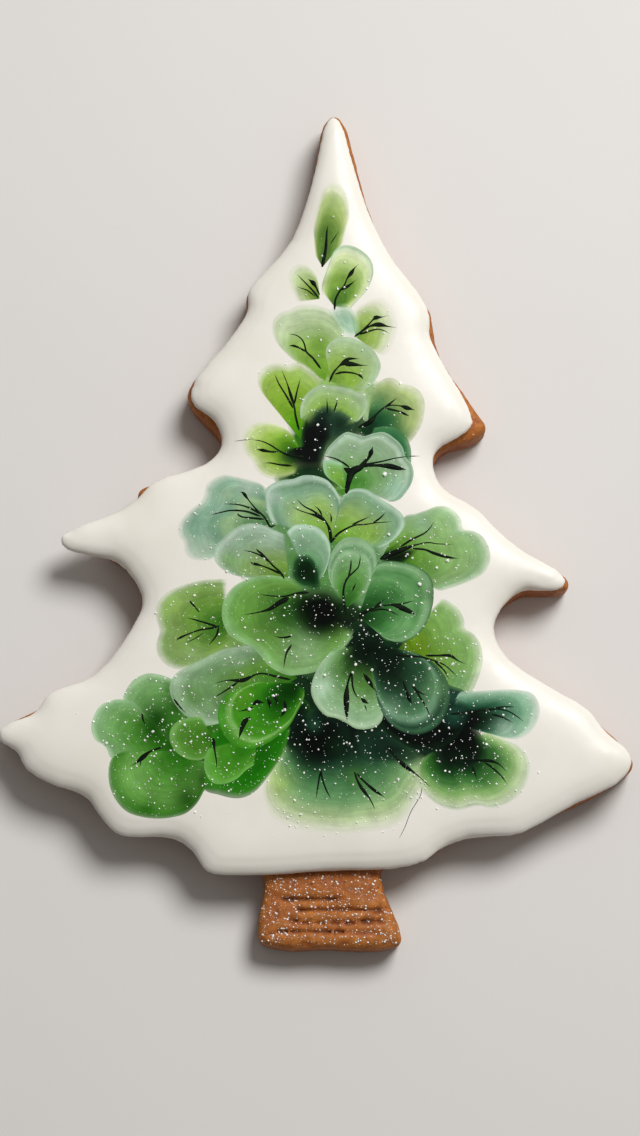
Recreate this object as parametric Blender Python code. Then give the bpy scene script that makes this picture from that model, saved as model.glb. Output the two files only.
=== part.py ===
"""Iced gingerbread biscuit cut as a fir tree, lying flat with its iced side up.

Two solids: the baked biscuit, whose trunk is pressed with grooves, and the thick white icing flooded over the
tree above the trunk. +Y points to the tree's top, +Z out of the icing, and the origin is on the table under the
middle of the whole.
"""
import math

import bmesh
import bpy
import numpy as np
from mathutils import Vector
from mathutils.geometry import delaunay_2d_cdt, interpolate_bezier

MM = 0.001

# Biscuit, in millimetres.
DOUGH_THICKNESS = 7.0
DOUGH_FOOT_ROUND = 0.8
DOUGH_EDGE_WIDTH = 2.2
DOUGH_EDGE_DROP = 1.5
DOUGH_GRID = 7.0

# Icing, in millimetres.
ICING_GAP = 0.3
ICING_LIP = 0.8
ICING_LIP_INSET = 0.5
ICING_EDGE_WIDTH = 4.4
ICING_EDGE_RISE = 2.3
ICING_CROWN = 0.3
ICING_CROWN_REACH = 10.0
ICING_RIPPLE = 0.08
ICING_RIPPLE_LENGTH = 26.0
ICING_GRID = 4.6

# Grooves pressed across the trunk, in millimetres: height of the line, left end, right end.
GROOVES = [(-61.9, -5.2, 5.4), (-63.7, -4.9, 11.2), (-65.7, -5.4, 12.0), (-67.4, -6.6, 11.6)]
GROOVE_HALF_WIDTH = 0.65
GROOVE_DEPTH = 0.6
GROOVE_STEP = 2.4

# A vertex is set on an edge after this much turning or this much length.
TURN_PER_VERTEX = math.radians(15.0)
LENGTH_PER_VERTEX = 3.2
LEAST_LENGTH = 0.6
SAMPLES_PER_SPAN = 24
INSET_STEP = 0.1
INSET_EASE = 0.35

# Cut edge of the biscuit, clockwise from the tree's tip, in millimetres: its bends, tier by tier.
BISCUIT_EDGE = [
    # tip and right side down to the top tier's point
    (3.1, 71.2), (4.8, 69.7), (6.2, 65.0), (9.1, 53.9), (12.7, 45.8), (19.2, 36.9), (19.6, 34.6), (20.6, 29.6),
    (26.3, 20.6), (28.4, 16.8), (27.1, 15.3), (20.6, 12.6),
    # notch, then the middle tier's point
    (19.5, 9.6), (21.3, 6.1), (30.3, -2.4), (39.4, -7.3), (41.7, -8.6), (41.9, -10.2), (40.3, -10.9), (33.8, -11.3),
    # notch, then the bottom tier's point
    (29.4, -15.3), (29.7, -19.4), (36.2, -26.6), (45.2, -31.8), (51.3, -37.6), (52.3, -39.8), (50.4, -42.0),
    (35.2, -49.0), (24.6, -50.4),
    # step to the trunk, the trunk, and back to the left step
    (21.6, -52.6), (17.6, -55.4), (11.0, -56.6), (10.9, -59.6), (13.7, -66.8), (13.8, -69.0), (11.4, -70.0),
    (2.0, -69.9), (-7.2, -69.7), (-9.3, -68.4), (-9.5, -65.6), (-8.5, -59.4), (-9.6, -56.4), (-16.4, -56.2),
    (-18.6, -53.6), (-20.6, -50.9), (-28.4, -50.4),
    # left point of the bottom tier and its notch
    (-35.8, -46.0), (-46.8, -38.6), (-51.4, -35.6), (-52.3, -34.6), (-51.5, -33.4), (-46.1, -30.7), (-36.4, -24.6),
    (-30.2, -16.8),
    # left point of the middle tier, shorter than the icing over it
    (-29.0, -12.0), (-31.6, -6.6), (-35.2, -4.0), (-35.6, -1.6), (-30.2, 3.0), (-29.4, 6.4), (-26.2, 7.5),
    # left point of the top tier and back up to the tip
    (-17.0, 11.6), (-16.0, 14.6), (-20.8, 20.4), (-21.6, 22.6), (-14.4, 31.6), (-11.8, 36.4), (-11.6, 39.9),
    (-4.4, 48.2), (-1.8, 55.0), (0.2, 64.0), (1.4, 69.8),
]

# Poured edge of the icing, clockwise from the tree's tip, in millimetres.
ICING_EDGE = [
    # tip and right side down to the top tier's point
    (3.0, 70.4), (4.4, 68.9), (5.6, 64.6), (9.1, 53.1), (12.4, 46.2), (18.7, 37.2), (19.2, 34.8), (19.0, 32.6),
    (20.6, 28.8), (25.9, 19.0), (26.2, 17.2), (25.0, 15.6), (20.2, 12.7),
    # notch, then the middle tier's point
    (19.5, 10.8), (20.7, 6.8), (27.0, 2.6), (30.3, -1.0), (35.1, -4.9), (40.0, -7.6), (41.4, -9.5), (40.3, -10.9),
    (34.2, -11.0),
    # notch, then the bottom tier's point
    (31.6, -12.8), (29.4, -17.2), (31.0, -21.6), (38.2, -26.9), (45.0, -31.0), (47.6, -34.5), (51.2, -37.6),
    (51.9, -39.8), (49.9, -42.9), (43.1, -46.2), (36.6, -49.9), (33.0, -51.6), (24.6, -52.1),
    # foot of the icing over the trunk
    (21.0, -53.5), (17.6, -56.1), (1.0, -57.6), (-12.0, -58.3), (-17.9, -57.6), (-20.3, -54.1), (-22.8, -52.3),
    # left point of the bottom tier and its notch
    (-32.4, -51.6), (-35.2, -48.9), (-37.6, -45.4), (-43.6, -43.3), (-47.6, -40.8), (-49.2, -37.9), (-51.9, -36.1),
    (-52.1, -34.4), (-46.2, -31.3), (-44.2, -28.4), (-36.8, -25.3), (-31.0, -18.2),
    # left lobe of the middle tier, poured well past the biscuit
    (-28.7, -12.8), (-31.0, -8.0), (-33.2, -6.1), (-38.2, -5.1), (-41.6, -4.0), (-42.5, -2.2), (-40.4, -0.7),
    (-32.2, 2.6), (-29.3, 4.8), (-27.4, 7.0),
    # left point of the top tier and back up to the tip
    (-17.6, 10.9), (-15.8, 13.6), (-16.8, 17.4), (-20.6, 20.5), (-21.0, 22.9), (-14.6, 31.6), (-11.5, 36.6),
    (-11.4, 40.0), (-9.0, 42.9), (-4.4, 48.3), (-1.8, 55.0), (0.2, 62.8), (1.5, 68.9),
]


def clear_scene():
    for obj in list(bpy.data.objects):
        bpy.data.objects.remove(obj, do_unlink=True)


def smooth_loop(points):
    """A closed curve through the points, as an array of vertices spaced by turning and by length."""
    corners = [Vector(point) for point in points]
    count = len(corners)
    tangents = []
    for i, corner in enumerate(corners):
        before = (corner - corners[i - 1]).normalized()
        after = (corners[(i + 1) % count] - corner).normalized()
        tangents.append((before + after).normalized())
    fine = []
    for i, start in enumerate(corners):
        end = corners[(i + 1) % count]
        reach = (end - start).length / 3.0
        handle_out = start + tangents[i] * reach
        handle_in = end - tangents[(i + 1) % count] * reach
        fine += interpolate_bezier(start, handle_out, handle_in, end, SAMPLES_PER_SPAN + 1)[:-1]
    kept = [fine[0]]
    turned = 0.0
    walked = 0.0
    for i in range(1, len(fine)):
        back = fine[i] - fine[i - 1]
        ahead = fine[(i + 1) % len(fine)] - fine[i]
        turned += back.angle(ahead, 0.0)
        walked += back.length
        if (turned > TURN_PER_VERTEX and walked > LEAST_LENGTH) or walked > LENGTH_PER_VERTEX:
            kept.append(fine[i])
            turned = 0.0
            walked = 0.0
    return np.array([(p.x, p.y) for p in kept])


def inset(loop, distance):
    """The clockwise loop moved inwards along its own normals."""
    along = np.roll(loop, -1, 0) - np.roll(loop, 1, 0)
    inward = np.stack([along[:, 1], -along[:, 0]], 1)
    return loop + distance * inward / np.linalg.norm(inward, axis=1, keepdims=True)


def soft_inset(loop, distance):
    """The same move made in small steps, each eased along the loop so that tight bends don't fold over."""
    steps = max(1, math.ceil(distance / INSET_STEP))
    for _ in range(steps):
        loop = inset(loop, distance / steps)
        between = 0.5 * (np.roll(loop, -1, 0) + np.roll(loop, 1, 0))
        loop = loop + INSET_EASE * (between - loop)
    return loop


def depth_inside(loop, points):
    """Distance of each point from the loop, negative outside it."""
    start = loop[None]
    span = (np.roll(loop, -1, 0) - loop)[None]
    offset = points[:, None] - start
    share = np.clip((offset * span).sum(2) / (span ** 2).sum(2), 0.0, 1.0)
    away = np.linalg.norm(offset - share[..., None] * span, axis=2).min(1)
    start_y, end_y = loop[:, 1], np.roll(loop[:, 1], -1)
    straddles = (start_y[None] > points[:, 1:2]) != (end_y[None] > points[:, 1:2])
    crossing_x = start[..., 0] + span[..., 0] * (points[:, 1:2] - start_y[None]) / (end_y - start_y + 1e-12)[None]
    inside = (straddles & (points[:, 0:1] < crossing_x)).sum(1) % 2 == 1
    return np.where(inside, away, -away)


def spread(points, least):
    """The points with any dropped that stands nearer than least to one kept before it."""
    kept = []
    for point in points:
        if all(math.hypot(point[0] - other[0], point[1] - other[1]) >= least for other in kept):
            kept.append(point)
    return kept


def inner_points(loop, insets, grid):
    """Rings that follow the edge at the given insets, then an even triangular grid over the middle."""
    points = []
    for distance in insets:
        ring = inset(loop, distance)
        ring = ring[depth_inside(loop, ring) > 0.97 * distance]
        points += spread(ring, 0.45 * distance + 0.5)
    low, high = loop.min(0), loop.max(0)
    rows = []
    for j, y in enumerate(np.arange(low[1], high[1], grid * math.sqrt(0.75))):
        for x in np.arange(low[0] + 0.5 * grid * (j % 2), high[0], grid):
            rows.append((x, y))
    rows = np.array(rows)
    points += list(rows[depth_inside(loop, rows) > insets[-1] + 0.55 * grid])
    return points


def fill(loop, points):
    """Triangles over the loop's inside: all vertices, the loop's first, and the faces, wound anticlockwise."""
    flat = [Vector(p) for p in loop] + [Vector(p) for p in points]
    edges = [(i, (i + 1) % len(loop)) for i in range(len(loop))]
    vertices, _, faces, _, _, _ = delaunay_2d_cdt(flat, edges, [], 1, 1e-6)
    wound = []
    for face in faces:
        a, b, c = (vertices[i] for i in face)
        area = (b - a).cross(c - a)
        wound.append(tuple(face) if area > 0.0 else tuple(reversed(face)))
    return np.array([(v.x, v.y) for v in vertices]), wound


def build_slab(name, loop, rings, points, top_height, material):
    """A closed solid from rings of (inset, height), lowest first, under a top whose height is a function."""
    count = len(loop)
    mesh = bmesh.new()
    loops = []
    for distance, height in rings[:-1]:
        ring = soft_inset(loop, distance) if distance else loop
        loops.append([mesh.verts.new((x * MM, y * MM, height * MM)) for x, y in ring])
    flat, faces = fill(loop, points)
    heights = top_height(flat, np.maximum(depth_inside(loop, flat), 0.0))
    heights[:count] = rings[-1][1]
    top = [mesh.verts.new((x * MM, y * MM, z * MM)) for (x, y), z in zip(flat, heights)]
    for face in faces:
        mesh.faces.new([top[i] for i in face])
    loops.append(top[:count])
    for lower, upper in zip(loops, loops[1:]):
        for i in range(count):
            j = (i + 1) % count
            mesh.faces.new((lower[j], lower[i], upper[i], upper[j]))
    _, base_faces = fill(soft_inset(loop, rings[0][0]), [])
    for face in base_faces:
        mesh.faces.new([loops[0][i] for i in reversed(face)])
    bmesh.ops.recalc_face_normals(mesh, faces=mesh.faces)
    data = bpy.data.meshes.new(name)
    mesh.to_mesh(data)
    mesh.free()
    data.materials.append(material)
    data.shade_smooth()
    data.set_sharp_from_angle(angle=math.radians(50.0))
    obj = bpy.data.objects.new(name, data)
    bpy.context.scene.collection.objects.link(obj)
    return obj


def quarter_round(depth, width):
    """How far a rounded edge has risen at each depth inside it, from 0 to 1."""
    short = 1.0 - np.clip(depth / width, 0.0, 1.0)
    return np.sqrt(1.0 - short ** 2)


def dough_height(points, depth):
    """Top of the biscuit: rounded at its edge, with the trunk's grooves pressed in."""
    height = DOUGH_THICKNESS - DOUGH_EDGE_DROP * (1.0 - quarter_round(depth, DOUGH_EDGE_WIDTH))
    for line, left, right in GROOVES:
        across = np.abs(points[:, 1] - line) / GROOVE_HALF_WIDTH
        pressed = np.clip(1.0 - across ** 2, 0.0, 1.0)
        within = (points[:, 0] > left) & (points[:, 0] < right)
        height = height - GROOVE_DEPTH * pressed * within
    return height


def groove_points():
    """A middle row along each groove between two rows at its lips, closed by a point past each end."""
    points = []
    for line, left, right in GROOVES:
        steps = round((right - left) / GROOVE_STEP)
        for i in range(steps + 1):
            x = left + (right - left) * i / steps
            for side in (-1.0, 0.0, 1.0):
                points.append((x, line + side * GROOVE_HALF_WIDTH))
    return points


def icing_height(points, depth):
    """Top of the icing: a broad rounded edge that runs into a low crown with a faint ripple."""
    lip = DOUGH_THICKNESS + ICING_GAP + ICING_LIP
    edge = ICING_EDGE_RISE * quarter_round(depth, ICING_EDGE_WIDTH)
    inner = 1.0 - np.exp(-np.maximum(depth - ICING_EDGE_WIDTH, 0.0) / ICING_CROWN_REACH)
    wave = 2.0 * math.pi / ICING_RIPPLE_LENGTH
    ripple = np.sin(points[:, 0] * wave) * np.cos(points[:, 1] * wave * 0.8 + 1.0)
    return lip + edge + inner * (ICING_CROWN + ICING_RIPPLE * ripple)


def make_material(name, colour, roughness):
    material = bpy.data.materials.new(name)
    material.use_nodes = True
    shader = material.node_tree.nodes["Principled BSDF"]
    shader.inputs["Base Color"].default_value = (*colour, 1.0)
    shader.inputs["Roughness"].default_value = roughness
    shader.inputs["Metallic"].default_value = 0.0
    return material


def make_biscuit(loop, grooves):
    rings = [(DOUGH_FOOT_ROUND, 0.0), (0.0, DOUGH_FOOT_ROUND), (0.0, DOUGH_THICKNESS - DOUGH_EDGE_DROP)]
    insets = (0.25 * DOUGH_EDGE_WIDTH, DOUGH_EDGE_WIDTH)
    points = [p for p in inner_points(loop, insets, DOUGH_GRID) if not among_grooves(p)]
    material = make_material("baked_dough", (0.43, 0.15, 0.035), 0.75)
    return build_slab("biscuit", loop, rings, points + grooves, dough_height, material)


def among_grooves(point):
    """Whether a point of the even filling would stand among the rows of the grooves."""
    top = max(line for line, _, _ in GROOVES) + 2.0 * GROOVE_HALF_WIDTH
    low = min(line for line, _, _ in GROOVES) - 2.0 * GROOVE_HALF_WIDTH
    left = min(end for _, end, _ in GROOVES) - GROOVE_HALF_WIDTH
    right = max(end for _, _, end in GROOVES) + GROOVE_HALF_WIDTH
    return low < point[1] < top and left < point[0] < right


def make_icing(loop):
    foot = DOUGH_THICKNESS + ICING_GAP
    rings = [(ICING_LIP_INSET, foot), (0.0, foot + ICING_LIP)]
    insets = (0.1 * ICING_EDGE_WIDTH, 0.4 * ICING_EDGE_WIDTH, ICING_EDGE_WIDTH)
    points = inner_points(loop, insets, ICING_GRID)
    material = make_material("royal_icing", (0.86, 0.83, 0.76), 0.35)
    return build_slab("white_icing", loop, rings, points, icing_height, material)


def centre(objects):
    """Move the meshes together so that the origin is on the table under the middle of the whole."""
    corners = np.array([v.co[:] for obj in objects for v in obj.data.vertices])
    middle = 0.5 * (corners.min(0) + corners.max(0))
    for obj in objects:
        for vertex in obj.data.vertices:
            vertex.co.x -= middle[0]
            vertex.co.y -= middle[1]


def main():
    clear_scene()
    biscuit = make_biscuit(smooth_loop(BISCUIT_EDGE), groove_points())
    icing = make_icing(smooth_loop(ICING_EDGE))
    centre([biscuit, icing])


main()
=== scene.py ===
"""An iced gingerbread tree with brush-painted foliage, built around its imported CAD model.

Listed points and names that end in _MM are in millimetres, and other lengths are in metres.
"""
import math

import bpy
import numpy as np
from bpy.props import FloatProperty, FloatVectorProperty, IntProperty, PointerProperty
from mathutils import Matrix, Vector, noise
from mathutils.bvhtree import BVHTree


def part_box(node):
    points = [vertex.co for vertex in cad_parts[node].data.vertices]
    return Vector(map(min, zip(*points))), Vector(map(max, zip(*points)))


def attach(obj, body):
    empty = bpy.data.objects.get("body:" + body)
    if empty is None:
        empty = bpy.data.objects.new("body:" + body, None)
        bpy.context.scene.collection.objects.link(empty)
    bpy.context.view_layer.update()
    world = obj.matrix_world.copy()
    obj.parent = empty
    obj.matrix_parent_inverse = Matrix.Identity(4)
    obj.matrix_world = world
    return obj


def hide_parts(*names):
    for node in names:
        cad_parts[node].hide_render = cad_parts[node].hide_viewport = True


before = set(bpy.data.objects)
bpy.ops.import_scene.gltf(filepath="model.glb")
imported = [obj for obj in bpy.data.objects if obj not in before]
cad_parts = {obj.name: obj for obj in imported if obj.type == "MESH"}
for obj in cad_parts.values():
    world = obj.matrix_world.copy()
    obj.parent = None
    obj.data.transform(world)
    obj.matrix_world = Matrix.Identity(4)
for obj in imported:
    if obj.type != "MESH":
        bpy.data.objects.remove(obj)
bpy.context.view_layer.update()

bl_info = {
    "name": "Iced tree cookie",
    "version": (1, 0, 0),
    "blender": (4, 5, 0),
    "location": "View3D > Sidebar > Cookie",
    "description": "Bakes, ices and paints a tree-shaped gingerbread",
    "category": "Object",
}

MM = 0.001
BISCUIT_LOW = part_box("biscuit")[0]
ICING_LOW, ICING_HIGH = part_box("white_icing")
ICING_LIP_TOP = ICING_LOW.z + 0.8 * MM  # the lower lip of the icing ends here
ICING_LIP_LOWEST = ICING_LOW.z - 1.7 * MM  # how far the lip may run down over the biscuit's shoulder
ICING_EASES_FROM, ICING_EASES_TO = 8.4 * MM, 10.2 * MM  # where the icing's side turns into its top
ICING_SMOOTHING, ICING_LEVELLING, LIP_EASING = 16, 70, 6  # rounds
LIP_SINKS = 0.02 * MM
CRUST_SMOOTHING, HOLLOW_BREADTH = 5, 14  # rounds
SHRINK, SWELL = 0.5, 0.52  # how far a point moves in each half of a smoothing round
ABOVE_ALL = 0.03
GROOVE_DEPTH = 2.2  # how much deeper the stem's scored grooves are made
TRUNK_TOP = ICING_LOW.y + 0.6 * MM  # the bare stem of the tree starts below the icing
STEM_TOP_LEVEL = 5.8 * MM  # the stem's upper face lies above this
SAME_POINT = 0.001 * MM  # points closer than this are welded
LEAF_STEPS = (60, 26)  # steps along a leaf's rim, and from its base to the rim
PAINT_STEPS = (300, 130)  # the same when the canvas is painted
LEAF_WELD = 0.004 * MM
DRIES_DEEPER = {"upper": 1.1, "middle": 1.28, "lower": 1.25}  # how much deeper each tier's glazes dry
CANVAS_STEP = 0.2  # mm between the places where the layers of paint are counted
CANVAS_LOW = np.array([-45.0, -62.0])
CANVAS_CELLS = (450, 640)
CANVAS_MARGIN = 2  # a coat counts this many cells beyond the painted places
BAND_WAVES, BAND_TURNS = (0.022, 0.014, 0.01), (2, 5, 11)  # how far and how often colours waver along a rim
SOFT_SIDES = 0.035  # share of the rim over which a fan fades at its two sides
GRAIN_STANDS = 0.08  # a grain's middle stands this share of its width above what it lies on
STRAY_GRAINS = 0.006  # share of the grains tried on bare icing that stay there
SUGAR_BY_HEIGHT = ([-50, -25, -10, 5, 25, 50], [1.0, 1.0, 0.8, 0.4, 0.22, 0.1])  # y, how thick

AIM = Vector((0.66, -7.75, 8.1)) * MM  # the camera looks at this place
CAMERA_TILT, CAMERA_AWAY = math.radians(10), 0.6
VIEW_HEIGHT, FILM_HEIGHT = 188.2 * MM, 36.0  # the height seen at that place, and the film's in mm
WINDOW = Vector((0.30, 0.395, 0.69))  # the lamp that stands for the window
WINDOW_WIDTH, WINDOW_POWER = 0.4, 6.8
ROOM_TOWARD = (0.45, 0.62, 0.64)  # the room is brightest this way
ROOM_LIGHT, BACKDROP_LIGHT = 0.31, 0.8
FLOOR_SIZE, FLOOR_ROUGHNESS = 4.0, 0.8


def places(text):
    """Points in mm, 'x,y x,y,width ...', as lists of numbers."""
    return [[float(n) for n in part.split(",")] for part in text.split()]


# Leaves in the order in which they are painted. Each is its tier, its base (x,y) or - for a closed patch around
# its own middle, the points of its rim, its colours from base (0) to rim (1) as place:colour or
# place:colour:cover, and its soft glows as x,y:radius:colour:strength.
# The washes are laid first, so that no icing shows between the leaves.
WASHES = """
upper - -2.6,29 -1.6,26 .4,23 3,22 6,22 5,24.5 3,27 1.6,29.6 0:84A83E .6:8DB050:.95 1:A9C276:.1
upper - -5,18 -3,20.5 -.5,21.5 2.5,20.5 6,19.5 9,21 10.5,18.5 12,15.5 9,14 5,13 2,11 .5,7.4 -3,7.4 -6,8.5
-6.5,12 -4.6,14.5 0:0C1A0C .4:142C12 .7:2A5A20:.95 1:4E7A34:.2
middle - -12,2.5 -9,5.5 -5,4 0,4.5 4,3.5 5,6.5 8,6.5 10,2 13,-3 16,-7 18,-12 14,-20 6,-22 -2,-22 -8,-19
-10,-13 -13,-9 -9,-5 -10,-1 0:5E8F4E .35:6F9E60 .65:7FA878 .88:8FB48C:.8 1:A9C8A8:.1
middle - 2,-12.5 5,-12 8,-14 11,-17 12,-20 9,-22 5,-22 1,-20 -1,-16 0:0A1A0C .6:1A4016:.95 1:3E7A2C:0
lower - -25,-33 -24,-28 -18,-24 -17,-19 -12,-18 -8,-22 0,-22 8,-18 14,-19 18,-18 21,-22 24,-27 27,-31 28,-36
25,-42 18,-41 14,-39 7,-37 0,-35 -5,-37 -12,-38 -18,-38 -22,-37 0:16301C .4:24482A .75:4E8238:.95 1:6F9A50:.2
lower - 3,-21 5,-18 9,-16.5 14,-19 16,-22 14.5,-25.5 10,-27 6,-26 3,-24 0:0C1E12 .7:163020 1:2A5030:.3
lower - -31,-33 -27,-30 -23,-30 -19,-33 -12,-33 -5,-31 -4,-37 -9,-43 -15,-45 -20,-45 -27,-44 -31,-40 0:226010
.7:2A6E12:.95 1:3E8A22:.3
lower - 15,-36 17,-34 20,-34 24,-33 27,-36 27,-40 23,-42 19,-41.5 16,-40 14.5,-38 0:0C1A10 .8:16301C
1:2A5030:.5
lower - 9,-22 12,-20 16,-21 18,-24 17,-28 13,-30 9.6,-28 8.6,-25 0:14301E .8:1E4028 1:2A5030:.5
lower - -21,-32 -18,-31 -15,-32 -14,-35 -17,-37 -20,-36 0:3E7A24 .8:4E8A30 1:5E9438:.5
upper - 2.2,5.5 3,8.4 5.6,9 8,7 9.5,4.6 8,3 5,3 3,4 0:4E8A34 .7:5E9440 1:7FAE6A:.4
upper - -6.6,7.8 -3,9.4 1,9.4 3,8.6 4.6,6.6 4,5 0,5.4 -3,5.8 -6.4,6 0:14301A .6:22481E .85:4E7A34:.9
1:7FA65A:.4
upper - -4.6,12 -3.4,15 -2.4,18.4 -1,21 .4,20 0,16 -1,12 -3,10.6 0:1F4A12 .7:3E7A1E 1:5E9A2A:.5
upper - 8,23 9.6,23.6 11,22.6 10.4,20 9.6,17.6 8,16.6 7.6,19 8,21 0:9ABA82 .7:A2C08C 1:B4CCA0:.4
upper - -1,22.2 1,24 4,23.4 7,23.2 9.4,23.6 8,21.2 4,21.4 1,21.6 0:8DB45E .7:9ABE70 1:A9C884:.5
lower - -16,-18.6 -13,-19 -11,-21 -11.4,-23.6 -14,-25 -17.4,-25 -18,-22 0:7FA65A .7:8AAC68 1:93B476:.5
upper - 7,15.6 8.6,16.4 11,16 12.6,14.4 10.6,13.6 8,13.8 0:12301C .7:163A20 1:1F4A28:.7
"""
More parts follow.
